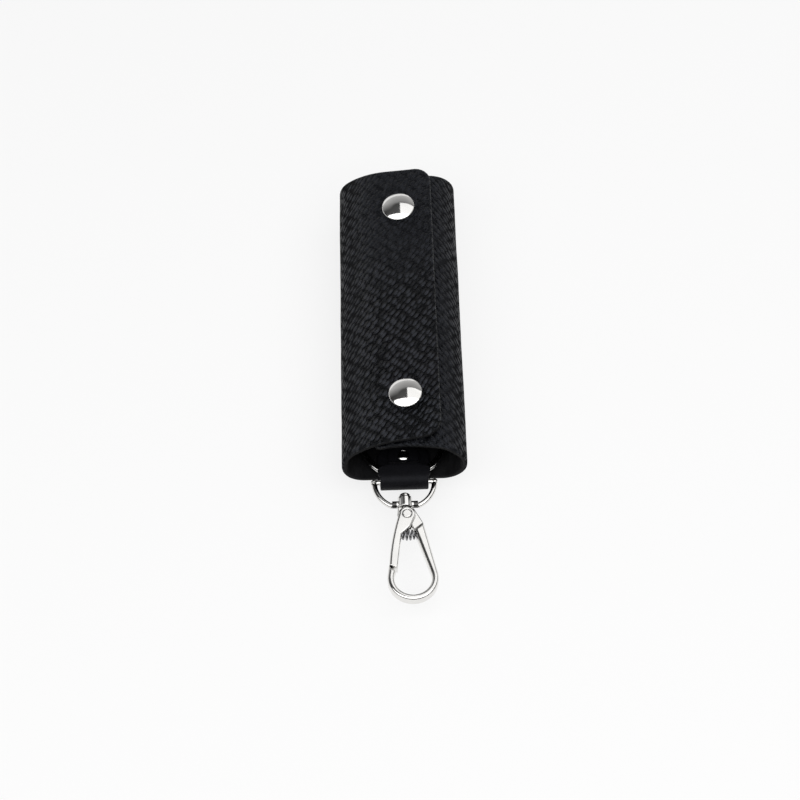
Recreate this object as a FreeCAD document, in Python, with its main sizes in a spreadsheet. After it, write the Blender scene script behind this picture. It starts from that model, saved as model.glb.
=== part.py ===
import FreeCAD, Part
import math
import os

import Sketcher
from FreeCAD import Placement, Rotation, Vector

# Driving sizes, in millimetres and degrees

SIZES = {
    # Leather wrap, seen from its near end
    "case_length": 120.0,
    "case_width": 44.5,
    "leather_thickness": 2.0,
    "lower_left_radius": 8.0,
    "upper_left_radius": 10.0,
    "upper_right_radius": 10.0,
    "lower_right_radius": 9.0,
    "flap_slope_angle": 6.5,
    "flap_edge_x": 13.0,
    "flap_edge_height": 25.4,
    "flap_setback": 4.6,
    "flap_corner_radius": 6.0,
    "crown_radius": 28.5,
    "crown_sweep": 31.5,
    "layer_gap": 2.4,
    "inner_edge_x": -11.5,
    "inner_setback_x": 4.0,
    "inner_setback": 3.2,
    "inner_corner_radius": 3.0,
    "fold_gap": 0.1,
    # Snaps, each placed from its own end of the case
    "snap_x": 0.8,
    "snap_near_inset": 21.9,
    "snap_far_inset": 16.7,
    "cap_radius": 6.0,
    "cap_height": 2.2,
    "cap_rim": 0.4,
    "socket_radius": 4.8,
    "socket_bore_radius": 3.3,
    "socket_height": 1.9,
    "socket_web": 0.4,
    "stud_radius": 2.0,
    "stud_height": 1.7,
    "stud_dome": 0.5,
    "stud_flange_radius": 3.0,
    "stud_flange": 0.4,
    "post_radius": 4.0,
    "post_flange": 0.5,
    "snap_shank_radius": 1.3,
    "hole_clearance": 0.15,
    # Strap
    "strap_x": -0.4,
    "strap_width": 18.8,
    "strap_fold_inset": 0.9,
    "strap_taper_start": 2.2,
    "strap_taper_end": 3.4,
    "strap_thickness": 1.4,
    "strap_fold_reach": 2.6,
    "strap_fold_inner": 2.3,
    "strap_dip_angle": 30.0,
    "strap_hump_end": 1.4,
    "tail_width": 11.0,
    "tail_descent_angle": 60.0,
    "tail_bend_radius": 0.6,
    "tail_length": 11.5,
    "tail_corner_radius": 4.0,
    "tail_clearance": 0.05,
    # Strap rivet
    "strap_rivet_y": 7.4,
    "strap_rivet_radius": 1.2,
    "strap_rivet_cap_radius": 2.2,
    "strap_rivet_cap_height": 0.9,
    "back_head_radius": 2.6,
    "back_head_thickness": 0.6,
    "back_head_inset": 0.1,
    # Split ring
    "ring_wall_gap": 6.25,
    "ring_band": 2.0,
    "ring_wire": 0.8,
    "ring_pitch": 1.25,
    "ring_crossover_angle": 24.0,
    # Swivel loop
    "loop_side_gap": 0.4,
    "loop_wire_radius": 1.0,
    "loop_corner_swell": 0.15,
    "bar_seat_angle": 225.0,
    "moving_clearance": 0.3,
    "hub_radius": 2.6,
    "hub_length": 3.9,
    "hub_rise": 0.2,
    "collar_radius": 1.3,
    "collar_span": 9.2,
    "collar_rise": 1.6,
    # Hook and its swivel stem
    "stem_radius": 1.3,
    "stem_clearance": 0.1,
    "head_radius": 2.0,
    "head_length": 2.0,
    "pivot_x": 0.5,
    "pivot_drop": 3.3,
    "pivot_radius": 1.6,
    "pivot_proud": 0.15,
    "lug_thickness": 2.0,
    "lug_half_width": 2.6,
    "lug_radius": 3.4,
    "lug_end_angle": 290.0,
    "hook_thickness": 4.2,
    "hook_rounding": 1.0,
    "step_outer_x": 5.7,
    "step_outer_drop": 3.6,
    "step_inner_x": 2.3,
    "step_inner_drop": 6.3,
    "eye_x": 1.3,
    "eye_drop": 25.6,
    "eye_radius": 6.6,
    "hook_bar_width": 2.4,
    "nose_outer_angle": 172.0,
    "nose_rise": 3.8,
    "nose_inner_angle": 154.0,
    # Gate and its spring
    "boss_radius": 3.0,
    "boss_end_angle": -30.0,
    "pivot_clearance": 0.1,
    "cheek_clearance": 0.1,
    "fork_radius": 7.0,
    "gate_bulge_x": -5.2,
    "gate_bulge_drop": 8.4,
    "gate_inner_x": -2.2,
    "gate_inner_drop": 8.3,
    "gate_notch_x": 1.2,
    "gate_notch_drop": 4.9,
    "gate_end_width": 2.9,
    "gate_rounding": 0.7,
    "nose_clearance": 0.3,
    "spring_drop": 7.7,
    "spring_radius": 1.25,
    "spring_wire_radius": 0.25,
    "spring_turn_count": 4.0,
    "spring_left": -2.7,
    "spring_length": 5.8,
    "spring_clearance": 0.3,
    # Key row at the far end
    "rod_inset": 16.0,
    "rod_radius": 0.8,
    "knuckle_radius": 1.6,
    "knuckle_clearance": 0.1,
    "key_row_margin": 0.75,
    "plate_thickness": 0.8,
    "plate_depth": 11.0,
    "plate_corner_radius": 2.0,
    "plate_knuckle": 2.0,
    "knuckle_end_gap": 0.3,
    "key_hook_gap": 1.0,
    "key_hook_length": 20.0,
    "key_hook_thickness": 1.0,
    "key_slot_wall": 1.2,
    "key_slot_length": 9.0,
    "key_entry": 2.4,
    "key_rivet_inset": 5.0,
    "key_rivet_radius": 1.0,
    "key_rivet_head_radius": 1.8,
    "key_rivet_head_height": 0.7,
}
KEY_HOOKS = 4

# Fineness of the spring wire, and tolerance for picking edges by their place

POINTS_PER_TURN = 8
NEAR = 0.01

doc = FreeCAD.newDocument("key_case")
sheet = doc.addObject("Spreadsheet::Sheet", "sizes")
for row, (alias, value) in enumerate(SIZES.items(), start=1):
    sheet.set(f"A{row}", alias)
    sheet.set(f"B{row}", str(value))
    sheet.setAlias(f"B{row}", alias)
doc.recompute()


def size(alias):
    """A driving size, read back from the sheet."""
    return float(sheet.get(alias))


def bind(target, expressions):
    """Tie properties to cells of the sheet."""
    for name, expression in expressions.items():
        target.setExpression(name, expression)


# Sketch and feature helpers

def new_body(label, placement=None):
    body = doc.addObject("PartDesign::Body", label)
    body.Label = label
    if placement is not None:
        body.Placement = placement
    return body


def new_sketch(body, role, name):
    sketch = body.newObject("Sketcher::SketchObject", name)
    plane = [item for item in body.Origin.OriginFeatures if item.Role == role][0]
    sketch.AttachmentSupport = [(plane, "")]
    sketch.MapMode = "FlatFace"
    return sketch


def line(start, end):
    return Part.LineSegment(Vector(start[0], start[1], 0), Vector(end[0], end[1], 0)), None


def arc(centre, radius, first, last, expression=None):
    """Arc from one angle to a larger one, in degrees, with the expression that drives its radius."""
    circle = Part.Circle(Vector(centre[0], centre[1], 0), Vector(0, 0, 1), radius)
    return Part.ArcOfCircle(circle, math.radians(first), math.radians(last)), expression


def circle(centre, radius, expression=None):
    return Part.Circle(Vector(centre[0], centre[1], 0), Vector(0, 0, 1), radius), expression


def arc_through(start, middle, end):
    points = [Vector(point[0], point[1], 0) for point in (start, middle, end)]
    return Part.Arc(*points), None


def polygon(points):
    return [line(points[i], points[(i + 1) % len(points)]) for i in range(len(points))]


def on_circle(centre, radius, angle):
    turn = math.radians(angle)
    return centre[0] + radius * math.cos(turn), centre[1] + radius * math.sin(turn)


def add_loop(sketch, pieces):
    """Add one closed outline, joined end to end, with its radii tied to the sheet."""
    first = sketch.GeometryCount
    for geometry, expression in pieces:
        index = sketch.addGeometry(geometry)
        if expression is not None:
            constraint = sketch.addConstraint(Sketcher.Constraint("Radius", index, geometry.Radius))
            sketch.setExpression(f"Constraints[{constraint}]", expression)
    count = len(pieces)
    if count < 2:
        return
    for step in range(count):
        here = first + step
        there = first + (step + 1) % count
        ends = [(here_end, there_end) for here_end in (1, 2) for there_end in (1, 2)]
        near = min(ends, key=lambda pair: sketch.getPoint(here, pair[0]).distanceToPoint(
            sketch.getPoint(there, pair[1])))
        sketch.addConstraint(Sketcher.Constraint("Coincident", here, near[0], there, near[1]))


def extrude(kind, body, name, sketch, length, second=None):
    """Pad or pocket, both ways from the sketch: half the length each, or two lengths."""
    feature = body.newObject(kind, name)
    feature.Profile = sketch
    if second is None:
        feature.SideType = "Symmetric"
    else:
        feature.SideType = "Two sides"
        feature.setExpression("Length2", second)
    feature.setExpression("Length", length)
    doc.recompute()
    return feature


def pad(body, name, sketch, length, second=None):
    return extrude("PartDesign::Pad", body, name, sketch, length, second)


def pocket(body, name, sketch, length):
    before = body.Shape.Volume
    feature = extrude("PartDesign::Pocket", body, name, sketch, length)
    if body.Shape.Volume >= before:
        raise RuntimeError(f"{name} cuts nothing")
    return feature


def revolve(body, name, sketch):
    feature = body.newObject("PartDesign::Revolution", name)
    feature.Profile = sketch
    feature.ReferenceAxis = (sketch, ["V_Axis"])
    feature.Angle = 360
    doc.recompute()
    return feature


def round_edges(body, name, radius, wanted):
    """Fillet the edges of the body's last feature that a test picks out."""
    base = body.Tip
    names = [f"Edge{i}" for i, edge in enumerate(base.Shape.Edges, start=1) if wanted(edge)]
    feature = body.newObject("PartDesign::Fillet", name)
    feature.Base = (base, names)
    feature.setExpression("Radius", radius)
    doc.recompute()
    return feature


def cylinder(name, radius, height, base, axis):
    """Part cylinder whose radius and height are expressions."""
    item = doc.addObject("Part::Cylinder", name)
    bind(item, {"Radius": radius, "Height": height})
    item.Placement = Placement(base, Rotation(Vector(0, 0, 1), axis))
    return item


def fuse(name, items):
    item = doc.addObject("Part::MultiFuse", name)
    item.Shapes = items
    return item


def cut(label, base, tool):
    item = doc.addObject("Part::Cut", label)
    item.Base = base
    item.Tool = tool
    item.Label = label
    return item


def group(label, items):
    item = doc.addObject("Part::Compound", label)
    item.Links = items
    item.Label = label
    return item


# Section of the leather wrap, in X and Z

half_width = size("case_width") / 2
half_length = size("case_length") / 2
leather = size("leather_thickness")
slope = math.radians(size("flap_slope_angle"))
top_angle = 90 + size("flap_slope_angle")
shoulder_angle = top_angle + size("crown_sweep")
layer_step = leather + size("layer_gap")


def outer_top(x):
    """Height of the outer flap's upper face."""
    return size("flap_edge_height") - (size("flap_edge_x") - x) * math.tan(slope)


def inner_top(x):
    """Height of the inner flap's upper face."""
    return outer_top(x) - layer_step / math.cos(slope)


def upper_right_centre():
    """Centre of the upper right fold, tangent to its side and to the inner flap."""
    radius = size("upper_right_radius")
    x = half_width - radius
    return x, inner_top(x - radius * math.sin(slope)) - radius * math.cos(slope)


def crown_centre():
    """Centre of the flap's crown, an easy curve between the flat flap and the upper left fold."""
    radius = size("crown_radius")
    fold = size("upper_left_radius")
    x = -half_width + fold - (radius - fold) * math.cos(math.radians(shoulder_angle))
    return x, outer_top(x - radius * math.sin(slope)) - radius * math.cos(slope)


CROWN = crown_centre()
FOLDS = {
    "lower_left": (-half_width + size("lower_left_radius"), size("lower_left_radius")),
    "lower_right": (half_width - size("lower_right_radius"), size("lower_right_radius")),
    "upper_left": on_circle(CROWN, size("crown_radius") - size("upper_left_radius"), shoulder_angle),
    "upper_right": upper_right_centre(),
}
SPLITS = {
    "lower_left": 225.0,
    "lower_right": 315.0,
    "upper_left": (180 + shoulder_angle) / 2,
    "upper_right": top_angle / 2,
}


def fold_radius(fold):
    return size(fold + "_radius")


def split_angle(fold, side):
    """Angle where a panel ends at a fold line, half the fold gap before or after it."""
    return SPLITS[fold] + side * math.degrees(size("fold_gap") / 2 / fold_radius(fold))


def fold_point(fold, angle):
    return on_circle(FOLDS[fold], fold_radius(fold), angle)


def bent_stretch(centre, radius, cells, first, last):
    """Outer and inner edges of the leather round a bend, whose outer radius the cells drive."""
    outside = arc(centre, radius, first, last, cells)
    inside = arc(centre, radius - leather, first, last, cells + " - sizes.leather_thickness")
    return outside, inside, on_circle(centre, radius, first), on_circle(centre, radius, last)


def fold_stretch(fold, first, last):
    return bent_stretch(FOLDS[fold], fold_radius(fold), f"sizes.{fold}_radius", first, last)


def flat_stretch(start, end):
    """Outer and inner edges of the leather along a straight run, the inside on its left."""
    run = math.hypot(end[0] - start[0], end[1] - start[1])
    shift = (-(end[1] - start[1]) / run * leather, (end[0] - start[0]) / run * leather)
    inside = line((start[0] + shift[0], start[1] + shift[1]), (end[0] + shift[0], end[1] + shift[1]))
    return line(start, end), inside, start, end


def section(stretches):
    """Closed outline of a strip of leather from its stretches in order."""
    outside = [stretch[0] for stretch in stretches]
    inside = [stretch[1] for stretch in reversed(stretches)]
    ends = {}
    for key, stretch in (("start", stretches[0]), ("end", stretches[-1])):
        point = stretch[2] if key == "start" else stretch[3]
        inner = stretch[1][0]
        corners = [inner.StartPoint, inner.EndPoint]
        corner = min(corners, key=lambda corner: corner.distanceToPoint(Vector(point[0], point[1], 0)))
        ends[key] = line(point, (corner.x, corner.y))
    return outside + [ends["end"]] + inside + [ends["start"]]


def leather_panel(label, stretches):
    body = new_body(label)
    sketch = new_sketch(body, "XZ_Plane", label + "_section")
    add_loop(sketch, section(stretches))
    pad(body, label + "_pad", sketch, "sizes.case_length")
    return body


def round_free_corners(body, name, radius, edge_x):
    """Round the two corners of a flap's free edge."""
    def at_corner(edge):
        spans = edge.BoundBox
        across = abs(edge.Length - leather) < NEAR and spans.YLength < leather / 10
        return across and abs(spans.Center.x - edge_x) < leather
    round_edges(body, name, radius, at_corner)


flap_corner = (size("flap_edge_x"), outer_top(size("flap_edge_x")))
inner_crown = size("crown_radius") - layer_step
inner_end_angle = math.degrees(math.acos((size("inner_edge_x") - CROWN[0]) / inner_crown))
INNER_CROWN = "sizes.crown_radius - sizes.leather_thickness - sizes.layer_gap"

back_blank = leather_panel("back_panel_blank", [
    fold_stretch("lower_left", split_angle("lower_left", 1), 270),
    flat_stretch(fold_point("lower_left", 270), fold_point("lower_right", 270)),
    fold_stretch("lower_right", 270, split_angle("lower_right", -1)),
])
outer_wall = leather_panel("outer_wall", [
    fold_stretch("upper_left", split_angle("upper_left", 1), 180),
    flat_stretch(fold_point("upper_left", 180), fold_point("lower_left", 180)),
    fold_stretch("lower_left", 180, split_angle("lower_left", -1)),
])
inner_wall = leather_panel("inner_wall", [
    fold_stretch("lower_right", split_angle("lower_right", 1), 360),
    flat_stretch(fold_point("lower_right", 0), fold_point("upper_right", 0)),
    fold_stretch("upper_right", 0, split_angle("upper_right", -1)),
])
outer_blank = leather_panel("outer_flap_blank", [
    flat_stretch(flap_corner, on_circle(CROWN, size("crown_radius"), top_angle)),
    bent_stretch(CROWN, size("crown_radius"), "sizes.crown_radius", top_angle, shoulder_angle),
    fold_stretch("upper_left", shoulder_angle, split_angle("upper_left", -1)),
])
inner_blank = leather_panel("inner_flap_blank", [
    fold_stretch("upper_right", split_angle("upper_right", 1), top_angle),
    flat_stretch(fold_point("upper_right", top_angle), on_circle(CROWN, inner_crown, top_angle)),
    bent_stretch(CROWN, inner_crown, INNER_CROWN, top_angle, inner_end_angle),
])

# The near edges lean back towards the free edges of both flaps

wall_foot = fold_point("lower_left", SPLITS["lower_left"])
wall_head = fold_point("upper_left", SPLITS["upper_left"])
wall_run = wall_head[1] - wall_foot[1]
flap_run = size("flap_edge_x") - wall_head[0]
fold_setback = size("flap_setback") * wall_run / (wall_run + flap_run)


def lean_back(body, role, name, places, length):
    """Trim the near edge of a panel along a line of places, each with its set-back."""
    sketch = new_sketch(body, role, name)
    beyond = -half_length - leather
    edge = [(place, setback - half_length) for place, setback in places]
    corners = [(edge[0][0], beyond)] + edge + [(edge[-1][0], beyond)]
    if role == "YZ_Plane":
        corners = [(along, place) for place, along in corners]
    add_loop(sketch, polygon(corners))
    pocket(body, name + "_cut", sketch, length)


lean_back(outer_wall, "YZ_Plane", "outer_wall_lean",
          [(wall_foot[1], 0), (wall_head[1], fold_setback), (wall_head[1] + leather, fold_setback)],
          "2 * sizes.case_width")
flap_end = flap_corner[0] + leather
flap_lean = (size("flap_setback") - fold_setback) / flap_run
lean_back(outer_blank, "XY_Plane", "outer_flap_lean",
          [(wall_head[0] - leather, fold_setback), (wall_head[0], fold_setback),
           (flap_end, size("flap_setback") + flap_lean * leather)],
          "4 * sizes.flap_edge_height")
lean_back(inner_blank, "XY_Plane", "inner_flap_lean",
          [(fold_point("upper_right", SPLITS["upper_right"])[0], 0),
           (size("inner_setback_x"), size("inner_setback")),
           (size("inner_edge_x") - leather, size("inner_setback"))],
          "4 * sizes.flap_edge_height")

round_free_corners(outer_blank, "outer_flap_corners", "sizes.flap_corner_radius", size("flap_edge_x"))
round_free_corners(inner_blank, "inner_flap_corners", "sizes.inner_corner_radius", size("inner_edge_x"))

# Snaps: each is turned about an axis square to the flaps, measured from the outer flap's upper face

SNAP_AXIS = Vector(-math.sin(slope), 0, math.cos(slope))
shank_hole = size("snap_shank_radius") + size("hole_clearance")


def snap_places():
    """Seat of each snap on the outer flap."""
    along = {"near": size("snap_near_inset") - half_length, "far": half_length - size("snap_far_inset")}
    places = {}
    for end, y in along.items():
        seat = Vector(size("snap_x"), y, outer_top(size("snap_x")))
        places[end] = Placement(seat, Rotation(Vector(0, 0, 1), SNAP_AXIS))
    return places


def turned(label, outline, placement):
    """A solid of revolution about its own upright axis."""
    body = new_body(label, placement)
    sketch = new_sketch(body, "XZ_Plane", label + "_outline")
    add_loop(sketch, outline)
    revolve(body, label + "_turn", sketch)
    return body


def dome(radius, foot, top):
    """Arc from the foot of a dome to its top on the axis."""
    rise = top - foot
    ball = (radius ** 2 + rise ** 2) / (2 * rise)
    start = math.degrees(math.atan2(ball - rise, radius))
    return arc((0, top - ball), ball, start, 90)


def cap_outline():
    shank = size("snap_shank_radius")
    low = -leather - size("socket_web")
    rim = size("cap_rim")
    radius = size("cap_radius")
    top = size("cap_height")
    return [dome(radius, rim, top),
            line((0, top), (0, low)),
            line((0, low), (shank, low)),
            line((shank, low), (shank, 0)),
            line((shank, 0), (radius, 0)),
            line((radius, 0), (radius, rim))]


def socket_outline():
    top = -leather
    web = top - size("socket_web")
    low = top - size("socket_height")
    bore = size("socket_bore_radius")
    outside = size("socket_radius")
    return polygon([(shank_hole, top), (outside, top), (outside, low),
                    (bore, low), (bore, web), (shank_hole, web)])


def stud_outline():
    foot = -layer_step
    flange = foot + size("stud_flange")
    top = foot + size("stud_height")
    shoulder = top - size("stud_dome")
    radius = size("stud_radius")
    wide = size("stud_flange_radius")
    bore_top = shoulder - size("hole_clearance")
    return [dome(radius, shoulder, top),
            line((0, top), (0, bore_top)),
            line((0, bore_top), (shank_hole, bore_top)),
            line((shank_hole, bore_top), (shank_hole, foot)),
            line((shank_hole, foot), (wide, foot)),
            line((wide, foot), (wide, flange)),
            line((wide, flange), (radius, flange)),
            line((radius, flange), (radius, shoulder))]


def post_outline():
    seat = -layer_step - leather
    low = seat - size("post_flange")
    shank = size("snap_shank_radius")
    top = -layer_step + size("stud_height") - size("stud_dome") - 2 * size("hole_clearance")
    radius = size("post_radius")
    foot = radius - size("post_flange")
    return polygon([(0, low), (foot, low), (radius, seat), (shank, seat), (shank, top), (0, top)])


SNAP_PIECES = {
    "snap_caps": cap_outline,
    "snap_sockets": socket_outline,
    "snap_studs": stud_outline,
    "snap_posts": post_outline,
}
snap_groups = []
for label, outline in SNAP_PIECES.items():
    pair = [turned(f"{label}_{end}", outline(), place) for end, place in snap_places().items()]
    snap_groups.append(group(label, pair))


def snap_holes(name):
    """Holes for both snaps, long enough to pass either flap."""
    holes = []
    for end, place in snap_places().items():
        foot = place.Base - SNAP_AXIS * (2 * layer_step)
        holes.append(cylinder(f"{name}_{end}", "sizes.snap_shank_radius + sizes.hole_clearance",
                              "3 * (sizes.leather_thickness + sizes.layer_gap)", foot, SNAP_AXIS))
    return fuse(name, holes)


outer_flap = cut("outer_flap", outer_blank, snap_holes("outer_flap_holes"))
inner_flap = cut("inner_flap", inner_blank, snap_holes("inner_flap_holes"))

# Strap: two layers joined by a fold, in Y from the near end and Z

strap = size("strap_thickness")
lower_top = leather + strap
fold_inner = size("strap_fold_inner")
fold_outer = fold_inner + strap
dip = math.radians(size("strap_dip_angle"))
fold_y = -size("strap_fold_reach")
fold_z = leather + fold_outer / math.cos(dip) + fold_y * math.tan(dip)
near_place = Placement(Vector(size("strap_x"), -half_length, 0), Rotation())


def strap_outline():
    centre = (fold_y, fold_z)
    turn = 270 + size("strap_dip_angle")
    low = on_circle(centre, fold_outer, turn)
    high = on_circle(centre, fold_inner, turn)
    bend = (high[0] + (lower_top - high[1]) / math.tan(dip), lower_top)
    end = size("tail_length")
    hump = size("strap_hump_end")
    under = fold_z + fold_inner
    over = fold_z + fold_outer
    outer_radius = "sizes.strap_fold_inner + sizes.strap_thickness"
    return [arc(centre, fold_outer, 90, turn, outer_radius),
            line(low, (0, leather)),
            line((0, leather), (end, leather)),
            line((end, leather), (end, lower_top)),
            line((end, lower_top), bend),
            line(bend, high),
            arc(centre, fold_inner, 90, turn, "sizes.strap_fold_inner"),
            line((fold_y, under), (hump, under)),
            line((hump, under), (hump, over)),
            line((hump, over), (fold_y, over))]


def tail_outline():
    """The narrow end of the upper layer, which steps down behind the ring."""
    high = fold_z + fold_inner
    low = lower_top + size("tail_clearance")
    small = size("tail_bend_radius")
    large = small + strap
    angle = size("tail_descent_angle")
    turn = math.radians(angle)
    drop = (high - low - (small + large) * (1 - math.cos(turn))) / math.sin(turn)
    hump = size("strap_hump_end")
    top_centre = (hump, high - small)
    under = on_circle(top_centre, small, 90 - angle)
    over = on_circle(top_centre, large, 90 - angle)
    shift = (drop * math.cos(turn), -drop * math.sin(turn))
    under_end = (under[0] + shift[0], under[1] + shift[1])
    over_end = (over[0] + shift[0], over[1] + shift[1])
    low_centre = on_circle(over_end, small, 90 - angle)
    flat_y = low_centre[0]
    end = size("tail_length")
    small_radius = "sizes.tail_bend_radius"
    large_radius = "sizes.tail_bend_radius + sizes.strap_thickness"
    return [line((hump, high), (hump, high + strap)),
            arc(top_centre, large, 90 - angle, 90, large_radius),
            line(over, over_end),
            arc(low_centre, small, 270 - angle, 270, small_radius),
            line((flat_y, low + strap), (end, low + strap)),
            line((end, low + strap), (end, low)),
            line((end, low), (flat_y, low)),
            arc(low_centre, large, 270 - angle, 270, large_radius),
            line(under_end, under),
            arc(top_centre, small, 90 - angle, 90, small_radius)]


hang_strap = new_body("hang_strap", near_place)
strap_sketch = new_sketch(hang_strap, "YZ_Plane", "strap_side")
add_loop(strap_sketch, strap_outline())
pad(hang_strap, "strap_pad", strap_sketch, "sizes.strap_width")
tail_sketch = new_sketch(hang_strap, "YZ_Plane", "tail_side")
add_loop(tail_sketch, tail_outline())
pad(hang_strap, "tail_pad", tail_sketch, "sizes.tail_width")
through_strap = "8 * (sizes.strap_fold_inner + sizes.strap_thickness)"
hole_sketch = new_sketch(hang_strap, "XY_Plane", "strap_hole")
strap_hole = size("strap_rivet_radius") + size("hole_clearance")
add_loop(hole_sketch, [circle((0, size("strap_rivet_y")), strap_hole,
                              "sizes.strap_rivet_radius + sizes.hole_clearance")])
pocket(hang_strap, "strap_hole_cut", hole_sketch, through_strap)


def strap_end_corner(edge):
    spans = edge.BoundBox
    upright = spans.XLength + spans.YLength < NEAR
    return upright and abs(spans.Center.y - size("tail_length")) < NEAR


round_edges(hang_strap, "strap_end_corners", "sizes.tail_corner_radius", strap_end_corner)

# The strap narrows at its fold, so that the loop's arms swing past it

for side in (-1, 1):
    taper_name = "strap_taper_right" if side > 0 else "strap_taper_left"
    taper_sketch = new_sketch(hang_strap, "XY_Plane", taper_name)
    wide = side * size("strap_width") / 2
    narrow = wide - side * size("strap_fold_inset")
    front = fold_y - 2 * fold_outer
    add_loop(taper_sketch, polygon([
        (narrow, front),
        (narrow, -size("strap_taper_end")),
        (wide, -size("strap_taper_start")),
        (2 * wide, -size("strap_taper_start")),
        (2 * wide, front),
    ]))
    pocket(hang_strap, taper_name + "_cut", taper_sketch, through_strap)

# Strap rivet: a domed cap on the strap, and a post whose head is sunk in the back panel

rivet_place = Placement(Vector(size("strap_x"), size("strap_rivet_y") - half_length, 0), Rotation())
rivet_seat = lower_top + size("tail_clearance") + strap


def back_post_outline(radius, top):
    low = size("back_head_inset")
    head = low + size("back_head_thickness")
    wide = size("back_head_radius")
    return polygon([(0, low), (wide, low), (wide, head), (radius, head), (radius, top), (0, top)])


def rivet_cap_outline():
    radius = size("strap_rivet_cap_radius")
    top = rivet_seat + size("strap_rivet_cap_height")
    rim = rivet_seat + size("cap_rim") / 2
    return [dome(radius, rim, top),
            line((0, top), (0, rivet_seat)),
            line((0, rivet_seat), (radius, rivet_seat)),
            line((radius, rivet_seat), (radius, rim))]


post_outline_of_strap = back_post_outline(size("strap_rivet_radius"), rivet_seat)
strap_rivet_post = turned("strap_rivet_post", post_outline_of_strap, rivet_place)
strap_rivet_cap = turned("strap_rivet_cap", rivet_cap_outline(), rivet_place)

# Swivel loop: its bar lies in the fold of the strap, its hub carries the hook

loop_reach = size("strap_width") / 2 + size("loop_side_gap") + size("loop_wire_radius")
LOOP_REACH = "(sizes.strap_width / 2 + sizes.loop_side_gap + sizes.loop_wire_radius)"
bar_slack = fold_inner - size("loop_wire_radius") - size("moving_clearance")
bar_y, bar_z = on_circle((fold_y, fold_z), bar_slack, size("bar_seat_angle"))
hub_low = bar_y - loop_reach + size("hub_rise")
hub_high = hub_low + size("hub_length")
collar_y = bar_y - loop_reach + size("collar_rise")
arm_angle = math.degrees(math.acos(size("collar_span") / 2 / loop_reach))


def near_point(x, y, z):
    """Point given from the strap's centre line and the near end."""
    return Vector(size("strap_x") + x, y - half_length, z)


def loop_arm(name, first):
    """Bent arm of the loop, from the bar's end round to the hub."""
    arm = doc.addObject("Part::Torus", name)
    bind(arm, {"Radius1": LOOP_REACH, "Radius2": "sizes.loop_wire_radius"})
    arm.Angle3 = arm_angle
    arm.Placement = Placement(near_point(0, bar_y, bar_z), Rotation(Vector(0, 0, 1), first))
    return arm


def loop_corner(name, x):
    ball = doc.addObject("Part::Sphere", name)
    bind(ball, {"Radius": "sizes.loop_wire_radius + sizes.loop_corner_swell"})
    ball.Placement = Placement(near_point(x, bar_y, bar_z), Rotation())
    return ball


loop_blank = fuse("loop_blank", [
    loop_arm("loop_left_arm", 180),
    loop_arm("loop_right_arm", 360 - arm_angle),
    loop_corner("loop_left_corner", -loop_reach),
    loop_corner("loop_right_corner", loop_reach),
    cylinder("loop_bar", "sizes.loop_wire_radius", "2 * " + LOOP_REACH,
             near_point(-loop_reach, bar_y, bar_z), Vector(1, 0, 0)),
    cylinder("loop_collars", "sizes.collar_radius", "sizes.collar_span",
             near_point(-size("collar_span") / 2, collar_y, bar_z), Vector(1, 0, 0)),
    cylinder("loop_hub", "sizes.hub_radius", "sizes.hub_length",
             near_point(0, hub_low, bar_z), Vector(0, 1, 0)),
])
stem_bore = cylinder("stem_bore", "sizes.stem_radius + sizes.stem_clearance", "2 * sizes.hub_length",
                     near_point(0, hub_low - size("hub_length") / 2, bar_z), Vector(0, 1, 0))
swivel_loop = cut("swivel_loop", loop_blank, stem_bore)

# Hook: a thin lug at the pivot, a thick bar round the eye, and the swivel stem with its peened head

hook_place = Placement(near_point(0, 0, bar_z), Rotation())
pivot = (size("pivot_x"), hub_low - size("pivot_drop"))
lug_top = hub_low - size("stem_clearance")
eye = (pivot[0] + size("eye_x"), pivot[1] - size("eye_drop"))
eye_outer = size("eye_radius") + size("hook_bar_width")
step_outer = (pivot[0] + size("step_outer_x"), pivot[1] - size("step_outer_drop"))
step_inner = (pivot[0] + size("step_inner_x"), pivot[1] - size("step_inner_drop"))


def tangent_angle(point, radius):
    """Angle on a circle round the eye where a line from a point above, on its right, touches it."""
    reach = math.hypot(point[0] - eye[0], point[1] - eye[1])
    towards = math.degrees(math.atan2(point[1] - eye[1], point[0] - eye[0]))
    return towards - math.degrees(math.acos(radius / reach))


def nose_points():
    """Foot, outer corner and inner corner of the nose that the gate shuts against."""
    angle = size("nose_outer_angle")
    foot = on_circle(eye, eye_outer, angle)
    turn = math.radians(angle)
    rise = size("nose_rise")
    outer = (foot[0] + rise * math.sin(turn), foot[1] - rise * math.cos(turn))
    return foot, outer, on_circle(eye, size("eye_radius"), size("nose_inner_angle"))


def hook_bar_outline():
    outer_touch = tangent_angle(step_outer, eye_outer)
    inner_touch = tangent_angle(step_inner, size("eye_radius"))
    foot, nose_outer, nose_inner = nose_points()
    return [line(step_inner, step_outer),
            line(step_outer, on_circle(eye, eye_outer, outer_touch)),
            arc(eye, eye_outer, size("nose_outer_angle") - 360, outer_touch,
                "sizes.eye_radius + sizes.hook_bar_width"),
            line(foot, nose_outer),
            line(nose_outer, nose_inner),
            arc(eye, size("eye_radius"), size("nose_inner_angle") - 360, inner_touch, "sizes.eye_radius"),
            line(on_circle(eye, size("eye_radius"), inner_touch), step_inner)]


def lug_outline():
    half = size("lug_half_width")
    radius = size("lug_radius")
    left = (pivot[0] - radius, pivot[1])
    end = size("lug_end_angle")
    return [line((-half, lug_top), (half, lug_top)),
            line((half, lug_top), step_outer),
            line(step_outer, step_inner),
            line(step_inner, on_circle(pivot, radius, end)),
            arc(pivot, radius, 180, end, "sizes.lug_radius"),
            line(left, (-half, lug_top))]


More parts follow.
